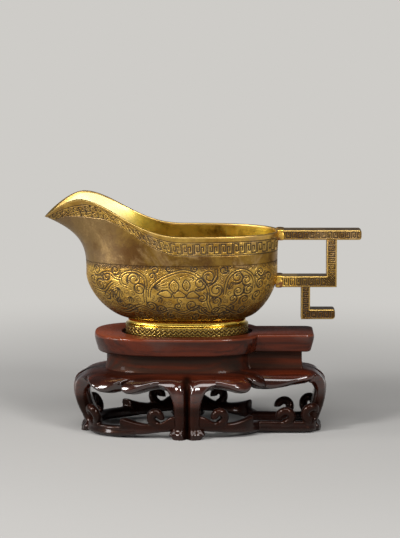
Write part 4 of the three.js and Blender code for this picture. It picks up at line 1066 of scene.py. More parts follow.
def waist_piece(name, material):
    """Recessed waist: straight above, and flared in a hollow square curve on to the base."""
    top, bottom = BOARD_UNDERSIDE - WAIST_GAP, BASE_HEIGHT + WAIST_GAP
    share = np.linspace(0, 1, 14)
    flare = WAIST_FLARE * np.clip(1 - share / FLARE_SHARE, 0, 1) ** 2
    profile = [(grown(WAIST_PLAN, out), mix(bottom, top, rise)) for out, rise in zip(flare, share)]
    inside = grown(WAIST_PLAN, -WAIST_THICKNESS)
    return loop_piece(name, stand_place(plan_rings(profile + [(inside, top), (inside, bottom)])), material)


# Stand: section of the carved base

def spline(points, level):
    """Smooth curve through evenly spaced points, at levels 0 to 1, with a cubic between each two."""
    points = np.asarray(points, dtype=float)
    last = len(points) - 1
    place = np.clip(level, 0, 1) * last
    here = np.minimum(place.astype(int), last - 1)
    share = (place - here)[..., None]
    before, after = np.maximum(here - 1, 0), np.minimum(here + 2, last)
    return cubic(points[before], points[here], points[here + 1], points[after], share)


# Share of the bulge against height, from under the waist to the floor
OUTER_SECTION = [
    (-0.4545, 32), (-0.227, 32), (0.12, 32), (0.6, 30.4), (0.92, 26.75), (1.0, 21.5), (0.892, 13.6),
    (0.694, 6.6), (0.64, 4), (0.76, 0)]
SKIN = SHELL_THICKNESS / BULGE_SIDE
INNER_SECTION = [
    (-0.4545, 27), (-0.227, 27), (0.08, 27), (0.32, 26), (0.92 - SKIN, 23.6), (1 - SKIN, 20.6),
    (0.892 - SKIN, 13.6), (0.694 - SKIN, 6.6), (0.64 - SKIN, 4), (0.64 - SKIN, 0)]
SHOULDER_LEVEL = 0.28
SECTION_LEVELS = np.linspace(0, 1, 1201)
OUTER_CURVE = spline(OUTER_SECTION, SECTION_LEVELS)
INNER_CURVE = spline(INNER_SECTION, SECTION_LEVELS)
SECTION_ARCS = running_length(OUTER_CURVE * np.array([BULGE_SIDE, 1]))
OUTER_HEIGHTS = OUTER_CURVE[:, 1]
FALLING = SECTION_LEVELS > SHOULDER_LEVEL
FALLING_HEIGHTS = np.minimum.accumulate(OUTER_HEIGHTS)[FALLING]


def level_at(height):
    """Level on the outer section at a height below the shoulder."""
    return np.interp(-height, -FALLING_HEIGHTS, SECTION_LEVELS[FALLING])


def height_at(level):
    """Height of the outer section at a level."""
    return np.interp(level, SECTION_LEVELS, OUTER_HEIGHTS)


def section_point(curve, length, level, swell):
    """Point of the outer or inner curve: the waist's plan moved out by the curve's share of the bulge and by
    the swell. Inside the waist, where the share is negative, it counts in lengths of BULGE_SIDE."""
    share = np.interp(level, SECTION_LEVELS, curve[:, 0])
    height = np.interp(level, SECTION_LEVELS, curve[:, 1])
    plan = {}
    for key in PLAN_KEYS:
        out = np.where(share < 0, share * BULGE_SIDE, share * (BULGE_PLAN[key] - WAIST_PLAN[key]))
        plan[key] = WAIST_PLAN[key] + out + swell
    plan["corner"] = np.maximum(LEAST_CORNER, plan["corner"])
    x, y = plan_point(plan, length)
    return np.stack(np.broadcast_arrays(x, y, height), -1)


def base_point(length, level, through, swell=0.0):
    """Point in the base's shell. through is 0 outside and 1 inside; swell lifts the outside."""
    length, level, through, swell = np.broadcast_arrays(length, level, through, swell)
    outside = section_point(OUTER_CURVE, length, level, swell)
    inside = section_point(INNER_CURVE, length, level, 0 * swell)
    return mix(outside, inside, through[..., None])


def ladder_piece(name, rings, material):
    """Closed body from rings whose second half runs back opposite the first; rungs close both ends."""
    rows, columns, _ = rings.shape
    here = np.arange(columns // 2 - 1)
    back = columns - 1 - here
    start = np.stack([here, back, back - 1, here + 1], -1)
    end = np.stack([here, here + 1, back - 1, back], -1) + (rows - 1) * columns
    quads = np.concatenate([ring_quads(rows, columns, False), start, end])
    return write_mesh(name, rings.reshape(-1, 3), quads, [], material)


# Stand: legs

ARCH_HEIGHT = 28.0
ARCH_SPRING = 15.0
HANDLE_RISE, SPOUT_RISE = 1.2, 0.3
LEG_SHOULDER = 15.0
LEG_WAIST = 7.0
LEG_TOE = 10.0
TOE_HEIGHT, TOE_SPREAD = 2.8, 2.5
TOE_SWELL, TOE_SWELL_HEIGHT, TOE_SWELL_SPREAD = 1.2, 2.6, 1.8
LEG_EDGE, LEG_EDGE_TOP = 1.9, 0.03
LEG_EDGE_END, LEG_EDGE_FADE = 1.7, 2.0
CHANNEL_WIDTHS, CHANNEL_DEPTH = (1.2, 2.6), 1.8
CHANNEL_OPENS, CHANNEL_OPENING = 22.0, 8.0
LEG_CARVING_TOP, LEG_CARVING_FADE, TOE_CLEFT = 31.6, 5.0, 3.0
CHANNEL_SHADE_TOP, CHANNEL_SHADE_FADE = 32.4, 2.0
RIDGE_HEIGHT, RIDGE_OFF, RIDGE_SPREAD = 0.9, 3.4, 2.2
LEG_FACE, LEG_SIDE, LEG_CORNER = 64, 14, 7
OUTER_SKIN = 0.2


def leg_half_width(height, crown):
    """Wide at the shoulder, a quarter arch in to the waist, then out on a bell curve to the curled toes."""
    share = np.clip((height - ARCH_SPRING) / (crown - ARCH_SPRING), 0, 1)
    arch = LEG_SHOULDER - (LEG_SHOULDER - LEG_WAIST) * np.sqrt(1 - share ** 2)
    toe = mix(LEG_WAIST, LEG_TOE, hump((height - TOE_HEIGHT) / TOE_SPREAD))
    return np.where(height > ARCH_SPRING, arch, toe)


def leg_channel(off, height):
    """Share of the dark channel down the middle of a leg: a V that opens towards the top."""
    return hump(off / mix(*CHANNEL_WIDTHS, smooth((height - CHANNEL_OPENS) / CHANNEL_OPENING)))


def crest_swell(off, height):
    """Carving of the outside near a leg: a channel down the middle between two soft ridges, and the toes."""
    ramp = smooth((LEG_CARVING_TOP - height) / LEG_CARVING_FADE)
    ridge = RIDGE_HEIGHT * hump((np.abs(off) - RIDGE_OFF) / RIDGE_SPREAD)
    toe = TOE_SWELL * hump((height - TOE_SWELL_HEIGHT) / TOE_SWELL_SPREAD) * smooth(np.abs(off) / TOE_CLEFT)
    return ramp * (ridge - CHANNEL_DEPTH * leg_channel(off, height)) + toe


def leg_piece(name, material, middle, rise):
    """Leg: a rounded box across the shell at each level, as wide as the leg is there. Its edges are sharp
    where it meets the aprons. Rungs between front and back close its ends, so its loop starts on a side."""
    levels = np.concatenate([np.linspace(0, 0.3, 14), np.linspace(0.3, 1, 120)[1:]])[:, None]
    height = height_at(levels)
    half = leg_half_width(height, ARCH_HEIGHT + rise)
    near_apron = smooth((height - ARCH_HEIGHT + LEG_EDGE_END - rise) / LEG_EDGE_FADE)
    radius = mix(LEG_EDGE, LEG_EDGE_TOP, near_apron)
    loop = RoundedBox(LEG_FACE, LEG_SIDE, LEG_CORNER)
    across, through = loop.places(half, SHELL_THICKNESS / 2, radius)
    share = 0.5 - through / SHELL_THICKNESS
    points = base_point(middle + across, levels, share, crest_swell(across, height))
    # Painted shade in the channel down the leg's outside, fading out near the top; the groove attribute
    # carries it
    channel_shade = leg_channel(across, height) * smooth((CHANNEL_SHADE_TOP - height) / CHANNEL_SHADE_FADE) * (share < OUTER_SKIN)
    start = LEG_CORNER + LEG_SIDE // 2
    piece = ladder_piece(name, stand_place(np.roll(points, start, 1)), material)
    mark(piece, "groove", np.roll(channel_shade, start, 1))
    return piece


# Stand: aprons between the legs, by their distance from the side leg

SPANS = {
    "back_handle": (SIDE_LEG, 0.0),
    "back_spout": (SIDE_LEG, HALF_OUTLINE),
    "front_spout": (-SIDE_LEG, -HALF_OUTLINE),
    "front_handle": (-SIDE_LEG, 0.0),
}
NOTCH, NOTCH_RISE = 36.0, 0.2
APRON_LOBE, LOBE_POWER, LOBE_ROUND = 4.4, 1.9, 1.1
NOTCH_POWER, RISE_POWER = 4, 1.5
APRON_EDGE = 1.7
APRON_GAP = 0.03
CREASE_LEAN, CREASE_WIDTH, CREASE_DEPTH = 4.0, 1.3, 1.5
CREASE_LOW, CREASE_TALL = 25.0, 6.0
APRON_CARVING_TOP, APRON_CARVING_FADE = 31.7, 4.0
PILLOW_BASE, PILLOW_HEIGHT, PILLOW_END = 0.1, 1.2, 5.0


def lobe_shares(distance, span):
    """Shares of the way along an apron's two lobes: side leg to notch, and notch to end leg."""
    first = np.clip((distance - LEG_SHOULDER) / (NOTCH - LEG_SHOULDER), 0, 1)
    second = np.clip((distance - NOTCH) / (span - LEG_SHOULDER - NOTCH), 0, 1)
    return first, second


def apron_edge(distance, span, rise):
    """Height of the apron's lower edge: it falls by a sine from the arch beside each leg to two lobes with a
    high pointed notch between them, and is higher at the end leg."""
    first, second = lobe_shares(distance, span)
    towards_notch = np.where(distance < NOTCH, first ** LOBE_POWER, 1 - (1 - second) ** LOBE_POWER)
    lobe = np.abs(np.sin(np.pi * towards_notch)) ** LOBE_ROUND
    point = np.where(distance < NOTCH, first, 1 - second) ** NOTCH_POWER
    return ARCH_HEIGHT - APRON_LOBE * lobe + NOTCH_RISE * point + rise * second ** RISE_POWER


def apron_swell(distance, span, height):
    """Soft pillows over the lobes and a crease from the cusp up to the waist; both run out at the legs."""
    first, second = lobe_shares(distance, span)
    lean = NOTCH - CREASE_LEAN * np.clip((height - CREASE_LOW) / CREASE_TALL, 0, 1)
    crease = hump((distance - lean) / CREASE_WIDTH)
    pillow = np.sin(np.pi * np.where(distance < NOTCH, first, second))
    to_leg = np.minimum(distance - LEG_SHOULDER, span - LEG_SHOULDER - distance)
    ramp = smooth((APRON_CARVING_TOP - height) / APRON_CARVING_FADE)
    carving = PILLOW_BASE + PILLOW_HEIGHT * pillow - CREASE_DEPTH * crease
    return ramp * smooth(to_leg / PILLOW_END) * carving


def apron_piece(name, material, side, end):
    """Apron: rows along the span, each running down the outside of the shell to the lower edge, round a
    quarter circle, and the same way back on the inside."""
    way = np.sign(end - side)
    span = abs(end - side)
    distance = np.linspace(LEG_SHOULDER + APRON_GAP, span - LEG_SHOULDER - APRON_GAP, 180)[:, None]
    low_level = level_at(apron_edge(distance, span, HANDLE_RISE if end == 0 else SPOUT_RISE))
    low_arc = np.interp(low_level, SECTION_LEVELS, SECTION_ARCS)
    face = np.concatenate([np.linspace(0, 0.25, 6), np.linspace(0.25, 1, 40)[1:]])
    arc = np.linspace(0, np.pi / 2, 8)[1:]
    down = np.concatenate([face, np.ones_like(arc)])
    round_down = np.concatenate([np.zeros_like(face), np.sin(arc)])
    round_in = np.concatenate([np.zeros_like(face), 1 - np.cos(arc)])
    place = down * (low_arc - APRON_EDGE) + round_down * APRON_EDGE
    depth = round_in * APRON_EDGE / SHELL_THICKNESS
    level = np.interp(np.concatenate([place, place[:, ::-1]], 1), SECTION_ARCS, SECTION_LEVELS)
    depth = np.concatenate([depth, 1 - depth[::-1]])
    swell = apron_swell(distance, span, height_at(level))
    piece = ladder_piece(name, stand_place(base_point(side + way * distance, level, depth, swell)), material)
    # Painted shade in the crease on the outside, carried by the groove attribute
    mark(piece, "groove", np.clip(-swell, 0, 1) * (depth < OUTER_SKIN))
    return piece


# Stand: openwork rails under the aprons

RAIL_DEPTH, RAIL_THICKNESS, RAIL_EDGE = 5.2, 4.6, 1.7
RAIL_ROOT, RAIL_ROOT_LENGTH, RAIL_SUNK = 3.0, 9.0, 0.6
RAIL_LIFT, RAIL_LIFT_END, RAIL_LIFT_SHARE = 4.0, 0.8, 0.625
CREST_START, CREST_TIP, CREST_RISE, CREST_POWER = 23.0, 37.0, 4.0, 1.5
CREST_TURN, CREST_FALL = 0.3, 1.6
SCROLL_DISTANCE, HOOK_DISTANCE, SCROLL_RADIUS, SCROLL_ROD = 17.0, 32.0, 3.9, 2.25
SCROLL_LIFT, SCROLL_LIFT_END, CORNER_STRETCH = 1.0, 3.0, 1.7
SCROLL_TURN, SCROLL_TIGHTEN, SCROLL_TAPER, SCROLL_THROUGH = 1.55, 0.45, 0.12, 0.45
ROD_SIDES = 14
MELT_VOXEL, SOFT_ROUNDS = 0.36, 5


def rail_lift(distance, span):
    """Underside of the rail: lifted beside the side leg and low beside the end leg."""
    return mix(RAIL_LIFT, RAIL_LIFT_END, smooth(distance / span / RAIL_LIFT_SHARE))


def rail_crest(distance):
    """The blade on the rail: a hollow rise to a point and a short fall behind it."""
    rise = np.clip((distance - CREST_START) / (CREST_TIP - CREST_START), 0, 1)
    return CREST_RISE * rise ** CREST_POWER * (1 - smooth((distance - CREST_TIP + CREST_TURN) / CREST_FALL))


def rod_rings(path, radii):
    """Round rod along a path: circles in the two directions square to the path, the first of them also
    square to the way out from the stand's middle."""
    way = unit(np.gradient(path, axis=0))
    first = unit(np.cross(way, unit(path * np.array([1, 1, 0]))))
    second = np.cross(first, way)
    turn = np.linspace(0, 2 * np.pi, ROD_SIDES, endpoint=False)[None, :, None]
    ring = np.cos(turn) * first[:, None] + np.sin(turn) * second[:, None]
    return path[:, None] + radii[:, None, None] * ring


def join_rings(bodies):
    """Points, quads and end triangles of several closed bodies in one mesh."""
    points, quads, triangles, offset = [], [], [], 0
    for rings in bodies:
        grid = rings.shape[:2]
        points += [rings.reshape(-1, 3), rings[:1].mean(1), rings[-1:].mean(1)]
        quads.append(ring_quads(*grid, False) + offset)
        triangles.append(fan_triangles(*grid) + offset)
        offset += grid[0] * grid[1] + 2
    return np.concatenate(points), np.concatenate(quads), np.concatenate(triangles)


def rail_band(side, way, span):
    """Rounded band along the base, deeper at its root beside the side leg and at the pointed blade."""
    distance = mix(LEG_WAIST - RAIL_SUNK, span - LEG_WAIST + RAIL_SUNK, np.linspace(0, 1, 160)[:, None])
    root = RAIL_ROOT * (1 - smooth((distance - LEG_WAIST) / RAIL_ROOT_LENGTH))
    half = (RAIL_DEPTH + rail_crest(distance) + root) / 2
    across, through = RoundedBox(10, 10, 5).places(half, RAIL_THICKNESS / 2, RAIL_EDGE)
    level = level_at(rail_lift(distance, span) + half + across)
    return base_point(side + way * distance, level, 0.5 - through / SHELL_THICKNESS)


def rail_scroll(side, way, span, middle, turn, lift):
    """Curled rod on the rail about a middle distance: an arc that starts at its foot and tightens and tapers
    evenly. turn is 1 or -1 for its sense, or more for a curl stretched along a tight corner."""
    share = np.linspace(0, 1, 44)
    angle = np.pi * (-0.5 + SCROLL_TURN * share)
    size = SCROLL_RADIUS * (1 - SCROLL_TIGHTEN * share)
    centre = rail_lift(middle, span) + RAIL_DEPTH - SCROLL_ROD + SCROLL_RADIUS + lift
    along = middle + turn * size * np.cos(angle)
    path = base_point(side + way * along, level_at(centre + size * np.sin(angle)), SCROLL_THROUGH)
    return rod_rings(path, SCROLL_ROD * (1 - SCROLL_TAPER * share))


def rail_piece(name, material, side, end):
    """Openwork rail: a band with a pointed blade and a curled scroll beside each leg, and one more towards
    the handle, melted together and smoothed. Its ends run into the legs."""
    way = np.sign(end - side)
    span = abs(end - side)
    at_handle = end == 0
    stretch = CORNER_STRETCH if at_handle else 1
    scrolls = [(SCROLL_DISTANCE, 1, SCROLL_LIFT), (span - SCROLL_DISTANCE, -stretch, SCROLL_LIFT_END)]
    if at_handle:
        scrolls.append((span - HOOK_DISTANCE, 1, SCROLL_LIFT))
    bodies = [rail_band(side, way, span)]
    bodies += [rail_scroll(side, way, span, *scroll) for scroll in scrolls]
    points, quads, triangles = join_rings(bodies)
    piece = write_mesh(name, stand_place(points), quads, triangles, material)
    melt = piece.modifiers.new("melt", "REMESH")
    melt.mode = "VOXEL"
    melt.voxel_size = MELT_VOXEL * MM
    melt.use_smooth_shade = True
    soft = piece.modifiers.new("soft", "SMOOTH")
    soft.factor = 0.5
    soft.iterations = SOFT_ROUNDS
    return piece


# Materials

def colour(red, green, blue):
    """Linear colour from the 0 to 255 values a screen shows."""
    shown = np.array([red, green, blue]) / 255
    linear = np.where(shown <= 0.04045, shown / 12.92, ((shown + 0.055) / 1.055) ** 2.4)
    return (*linear.tolist(), 1.0)


class Nodes:
    """A node tree and short ways to add and join its nodes."""

    def __init__(self, tree, coordinates):
        self.tree = tree
        self.place = self.node("ShaderNodeTexCoord").outputs[coordinates]

    def node(self, kind, inputs=None, **settings):
        """A new node with its settings and inputs."""
        made = self.tree.nodes.new(kind)
        for key, value in settings.items():
            setattr(made, key, value)
        for key, value in (inputs or {}).items():
            self.put(made.inputs[key], value)
        return made

    def put(self, socket, value):
        """Links another node's output to a socket, or sets its plain value."""
        if isinstance(value, bpy.types.NodeSocket):
            self.tree.links.new(value, socket)
        else:
            socket.default_value = value

    def axis(self, name):
        """The X, Y or Z coordinate."""
        return self.node("ShaderNodeSeparateXYZ", {"Vector": self.place}).outputs[name]

    def attribute(self, name):
        """A number that mark() gave the piece's points."""
        return self.node("ShaderNodeAttribute", attribute_name=name).outputs["Fac"]

    def noise(self, scale, detail, rough, stretch=None, distort=0.0):
        """Cloudy noise from 0 to 1; stretch scales its axes."""
        place = self.place
        if stretch:
            place = self.node("ShaderNodeMapping", {"Vector": place, "Scale": stretch}).outputs[0]
        made = self.node("ShaderNodeTexNoise", {
            "Vector": place, "Scale": scale, "Detail": detail, "Roughness": rough, "Distortion": distort})
        return made.outputs["Fac"]

    def steps(self, value, low, high, start=0.0, end=1.0):
        """S-curve from start to end, where a value goes from low to high."""
        made = self.node("ShaderNodeMapRange", {
            "Value": value, "From Min": low, "From Max": high, "To Min": start, "To Max": end})
        made.interpolation_type = "SMOOTHSTEP"
        return made.outputs["Result"]

    def fade(self, share, start, end):
        """S-curve from start to end, where a share goes from 0 to 1."""
        return self.steps(share, 0.0, 1.0, start, end)

    def zone(self, axis, low, high, start=0.0, end=1.0):
        """S-curve from start to end along an axis, between two places in millimetres."""
        return self.steps(axis, low * MM, high * MM, start, end)

    def math(self, operation, first, second):
        """One sum of two values."""
        return self.node("ShaderNodeMath", {0: first, 1: second}, operation=operation).outputs[0]

    def times(self, first, second):
        """Product of two values."""
        return self.math("MULTIPLY", first, second)

    def plus(self, first, second):
        """Sum of two values."""
        return self.math("ADD", first, second)

    def most(self, first, second):
        """The greater of two values."""
        return self.math("MAXIMUM", first, second)

    def blend(self, first, second, share):
        """Colour a share of the way from the first to the second."""
        made = self.node("ShaderNodeMix", {"Factor": share}, data_type="RGBA")
        self.put(made.inputs[6], first)
        self.put(made.inputs[7], second)
        return made.outputs[2]

    def coats(self, tone, coats):
        """Coats (screen colour, share) laid over a tone, one after another."""
        for shade, share in coats:
            tone = self.blend(tone, colour(*shade), share)
        return tone


class Finish(Nodes):
    """A material with its main shader, on Object coordinates."""

    def __init__(self, name):
        self.material = bpy.data.materials.new(name)
        self.material.use_nodes = True
        super().__init__(self.material.node_tree, "Object")
        self.shader = self.tree.nodes["Principled BSDF"]

    def bump(self, height, distance, strength):
        """Normal of a bumpy surface."""
        made = self.node("ShaderNodeBump", {"Height": height, "Distance": distance, "Strength": strength})
        return made.outputs["Normal"]

    def set(self, **values):
        """Fills the shader's sockets; an underscore stands for a space."""
        for key, value in values.items():
            self.put(self.shader.inputs[key.replace("_", " ")], value)


def gilt_bronze():
    """Worn gilding: olive gold with cloudy brown patina, most of it on the neck under the spout, fine
    pits, a stippled ground between the scrolls, dark tarnish in the engraving and bright worn edges. Painted
    shade darkens the neck, the handle and the low belly; a painted sheen and painted highlight streaks
    lighten the neck under the spout."""
    finish = Finish("gilt_bronze")
    along, up = finish.axis("X"), finish.axis("Z")
    groove, ground, worn, band = map(finish.attribute, ("groove", "ground", "worn", "band"))
    neck = finish.zone(up, 83.5, 86.0)
    handle = finish.zone(along, 46.0, 48.0)
    # spout marks the neck under the spout, where a painted pale grey sheen goes
    spout = finish.times(finish.zone(along, -34.0, -50.0), neck)
    # Painted shade: a darker tone laid over the neck and the handle
    painted_shade = finish.most(finish.times(neck, finish.fade(band, 1.0, 0.25)), handle)
    cloud = finish.times(finish.steps(finish.noise(42, 6, 0.66), 0.42, 0.6), finish.fade(neck, 0.4, 0.95))
    # Painted highlight: pale streaks on the neck
    painted_streaks = finish.steps(finish.noise(75, 6, 0.7, (1.0, 1.0, 0.8), 0.6), 0.5, 0.64)
    stain = finish.steps(finish.noise(80, 5, 0.68), 0.52, 0.72)
    dots = finish.node("ShaderNodeTexVoronoi", {"Vector": finish.place, "Scale": 1250.0}).outputs["Distance"]
    stipple = finish.times(finish.steps(dots, 0.2, 0.46, 1.0, 0.0), ground)
    mottle = finish.steps(finish.noise(120, 5, 0.62), 0.36, 0.64)
    tone = finish.blend(colour(236, 192, 96), colour(188, 143, 60), mottle)
    tone = finish.coats(tone, [
        # Painted shade on the neck and the handle, brown clouds, a painted pale grey sheen under the spout
        # and painted highlight streaks on the neck
        ((134, 101, 44), finish.times(painted_shade, 0.8)),
        ((100, 70, 38), finish.times(cloud, finish.fade(band, 1.0, 0.55))),
        ((150, 126, 94), finish.times(spout, finish.fade(band, 0.6, 0.1))),
        ((188, 154, 104), finish.times(painted_streaks, finish.times(neck, 0.6))),
        # Brown stains, painted shade low on the belly, and a darker tone on the handle's lower bars
        ((96, 60, 34), finish.times(stain, 0.5)),
        ((92, 56, 24), finish.zone(up, 74.0, 59.0, 0.0, 0.7)),
        ((84, 62, 32), finish.times(handle, finish.zone(up, 78.5, 77.5, 0.0, 0.45))),
        # Stippled ground, worn edges and tarnished grooves
        ((104, 70, 28), finish.times(stipple, 0.45)),
        ((228, 190, 112), finish.times(worn, 0.7)),
        ((28, 15, 5), finish.times(groove, 0.97)),
    ])
    fine = finish.noise(1500, 3, 0.6)
    rough = finish.plus(finish.steps(fine, 0.3, 0.7, 0.27, 0.4), finish.times(cloud, 0.1))
    rough = finish.plus(rough, finish.times(groove, 0.25))
    height = finish.plus(fine, finish.times(finish.noise(420, 3, 0.6), 1.2))
    height = finish.math("SUBTRACT", height, finish.times(stipple, 1.4))
    finish.set(
        Base_Color=tone, Roughness=rough, Metallic=finish.fade(groove, 1.0, 0.4),
        Normal=finish.bump(height, 0.00006, 0.7))
    return finish.material


def liner_gilt():
    """Yellow gilding of the inside with brown water stains; satin in the spout, where a painted highlight
    makes the gilding pale.
    """
    finish = Finish("liner_gilt")
    along = finish.axis("X")
    stain = finish.steps(finish.noise(48, 6, 0.7), 0.5, 0.68)
    gold = finish.blend(colour(224, 194, 82), colour(192, 160, 54), finish.noise(120, 3, 0.6))
    tone = finish.coats(gold, [
        ((104, 76, 26), finish.times(stain, 0.85)),
        # Painted highlight: pale cream gilding in the spout
        ((244, 230, 176), finish.zone(along, -30.0, -52.0, 0.0, 0.85)),
    ])
    rough = finish.steps(finish.noise(220, 3, 0.6), 0.3, 0.7, 0.3, 0.38)
    finish.set(
        Base_Color=tone, Roughness=finish.plus(rough, finish.zone(along, -30.0, -55.0, 0.0, 0.2)),
        Metallic=1.0, Normal=finish.bump(finish.noise(90, 2, 0.5), 0.00008, 0.2))
    return finish.material


def bright_gilt():
    """Polished gilding of the foot's hollow band; its lower band is duller, with tarnished chevrons."""
    finish = Finish("bright_gilt")
    groove, ground = finish.attribute("groove"), finish.attribute("ground")
    wear = finish.steps(finish.noise(120, 5, 0.65), 0.5, 0.74)
    gold = finish.blend(colour(238, 204, 98), colour(212, 170, 62), finish.noise(240, 3, 0.6))
    tone = finish.coats(gold, [
        ((140, 108, 52), finish.times(wear, 0.45)),
        ((158, 128, 62), finish.times(ground, 0.9)),
        ((44, 30, 10), groove),
    ])
    rough = finish.steps(finish.noise(900, 3, 0.6), 0.3, 0.7, 0.18, 0.23)
    finish.set(
        Base_Color=tone, Roughness=finish.plus(rough, finish.times(ground, 0.07)),
        Metallic=finish.fade(groove, 1.0, 0.5), Normal=finish.bump(finish.noise(700, 3, 0.6), 0.00003, 0.3))
    return finish.material


def braze_metal():
    """Satin braze metal, with reddish and violet heat stains."""
    finish = Finish("braze_metal")
    heat = finish.steps(finish.noise(300, 4, 0.6), 0.42, 0.62)
    finish.set(
        Base_Color=finish.blend(colour(214, 172, 78), colour(128, 78, 62), finish.times(heat, 0.85)),
        Roughness=finish.steps(finish.noise(800, 3, 0.6), 0.3, 0.7, 0.32, 0.5), Metallic=1.0,
        Normal=finish.bump(finish.noise(620, 3, 0.6), 0.00012, 0.7))
    return finish.material


def dark_hardwood():
    """Polished red-brown hardwood: long dark grain, fine pores, painted shade low down and on the waist,
    where grey dust lies too, painted shade in the carving, a painted sheen and a painted lit top on the
    board with a painted highlight along its edge, and a waxed coat that is thickest on the bulging aprons."""
    finish = Finish("dark_hardwood")
    along, up = finish.axis("X"), finish.axis("Z")
    groove = finish.attribute("groove")
    grain = finish.noise(95, 6, 0.62, (0.1, 1.0, 1.0), 0.6)
    streak = finish.noise(420, 4, 0.6, (0.05, 1.0, 1.0))
    cloud = finish.steps(finish.noise(30, 4, 0.6), 0.42, 0.68)
    dust_and_shade = finish.times(finish.zone(up, 31.0, 34.0), finish.zone(up, 42.0, 40.0))
    # Painted sheen: greyish patches on the board's side
    painted_sheen = finish.steps(finish.noise(34, 3, 0.5), 0.48, 0.62, 0.0, 0.5)
    # The board's top: it gets a painted lit reddish colour, and no wax
    top = finish.zone(up, BOARD_TOP - 0.3, BOARD_TOP - 0.1)
    # Painted highlight along the board's top edge
    edge = finish.times(
        finish.zone(up, BOARD_TOP - 1.6, BOARD_TOP - 0.8), finish.zone(up, BOARD_TOP - 0.1, BOARD_TOP - 0.4))
    tone = finish.blend(colour(30, 10, 5), colour(74, 27, 12), finish.steps(grain, 0.36, 0.66))
    tone = finish.coats(tone, [
        # Dark streaks and clouds of the grain, grey dust with painted shade on the waist, painted shade low
        # down
        ((18, 6, 4), finish.steps(streak, 0.48, 0.7, 0.0, 0.7)),
        ((30, 14, 10), finish.times(cloud, 0.45)),
        ((34, 27, 23), finish.times(dust_and_shade, finish.steps(grain, 0.4, 0.62, 0.85, 0.3))),
        ((8, 5, 4), finish.zone(up, 27.0, 12.0, 0.0, 0.8)),
        # Painted sheen on the board's side, a painted lit reddish top, a painted highlight along the top
        # edge, painted shade in the carving
        ((64, 50, 46), finish.times(painted_sheen, finish.zone(up, 40.0, 43.0))),
        ((132, 62, 34), finish.times(top, finish.zone(along, -20.0, -50.0, 0.15, 0.7))),
        ((150, 72, 44), finish.times(edge, 0.25)),
        ((7, 4, 3), finish.times(groove, 0.92)),
    ])
    rough = finish.steps(finish.noise(500, 3, 0.6), 0.3, 0.7, 0.26, 0.4)
    # Wax on the aprons, less of it on the board's edge and the toes, none in grooves and on the board's top
    wax = finish.times(finish.zone(up, 15.0, 22.0, 0.12, 1.0), finish.zone(up, 29.5, 31.2, 1.0, 0.04))
    wax = finish.most(wax, finish.zone(up, 40.0, 42.0, 0.0, 0.25))
    wax = finish.most(wax, finish.zone(up, 7.0, 3.0, 0.0, 0.35))
    wax = finish.times(wax, finish.steps(groove, 0.0, 0.6, 1.0, 0.0))
    wax = finish.times(wax, finish.fade(top, 1.0, 0.0))
    finish.set(
        Base_Color=tone, Roughness=finish.plus(rough, finish.times(dust_and_shade, 0.2)),
        Specular_IOR_Level=finish.times(
            finish.steps(groove, 0.0, 0.8, 0.14, 0.02), finish.fade(top, 1.0, 0.1)),
        Specular_Tint=colour(255, 170, 128), Coat_Weight=wax, Coat_Roughness=0.1, Coat_IOR=1.75,
        Normal=finish.bump(streak, 0.00006, 0.35))
    return finish.material


GILT = gilt_bronze()
LINER = liner_gilt()
BRIGHT = bright_gilt()
BRAZE = braze_metal()
WOOD = dark_hardwood()

# Boat: bowl and foot
belly_sheets = lotus_scroll()
belly_drops = np.linspace(0, BELLY_DROP, BELLY_RINGS + 1)
bowl_parts = [
    belly_piece(f"bowl_belly_{index + 1}", GILT, belly_sheets, belly_drops[index], belly_drops[index + 1])
    for index in range(BELLY_RINGS)]
bowl_parts += [neck_piece("bowl_neck", GILT), rim_piece("bowl_rim", GILT)]
bowl_parts.append(liner_piece("bowl_liner", LINER))
for bowl_part in bowl_parts:
    dress(bowl_part, BOAT, "gilt_bronze", "boat_bowl")
dress(foot_piece("foot", BRIGHT), BOAT, "bright_gilt", "foot_ring")

# Boat: bars of the handle (name, CAD node, start, end, half thickness, form) and their brazes
HANDLE_BARS = [
    ("handle_top", "handle_top_bar", (TOP_ROOT, TOP_MIDDLE), (TOP_END, TOP_MIDDLE), TOP_HALF,
     {"rounded": True}),
    ("handle_post", "handle_upright", (UPRIGHT_MIDDLE, TOP_MIDDLE - TOP_HALF - BUTT_GAP),
     (UPRIGHT_MIDDLE, LOWER_MIDDLE + MITRE_GAP), UPRIGHT_HALF,
     {"shear": (0, LOWER_HALF / UPRIGHT_HALF), "upright": True, "hatch": True}),
    ("handle_lower", "handle_lower_bar", (LOWER_ROOT, LOWER_MIDDLE), (UPRIGHT_MIDDLE, LOWER_MIDDLE),
     LOWER_HALF, {"shear": (0, -UPRIGHT_HALF / LOWER_HALF), "hatch": True}),
    ("handle_drop", "handle_drop_bar", (DROP_MIDDLE, LOWER_MIDDLE - LOWER_HALF - BUTT_GAP),
     (DROP_MIDDLE, HOOK_MIDDLE + MITRE_GAP), DROP_HALF,
     {"shear": (0, -HOOK_HALF / DROP_HALF), "upright": True}),
    ("handle_hook", "handle_hook_bar", (DROP_MIDDLE, HOOK_MIDDLE), (HOOK_END, HOOK_MIDDLE), HOOK_HALF,
     {"shear": (DROP_HALF / HOOK_HALF, 0), "rounded": True}),
]
for name, node, start, end, half, form in HANDLE_BARS:
    dress(bar_piece(name, GILT, start, end, half, **form), BOAT, "gilt_bronze", node)
upper_braze = braze_piece("braze_upper", BRAZE, UPPER_BRAZE_X, TOP_MIDDLE, TOP_HALF)
lower_braze = braze_piece("braze_lower", BRAZE, LOWER_BRAZE_X, LOWER_MIDDLE, LOWER_HALF)
dress(upper_braze, BOAT, "braze", "upper_braze")
dress(lower_braze, BOAT, "braze", "lower_braze")

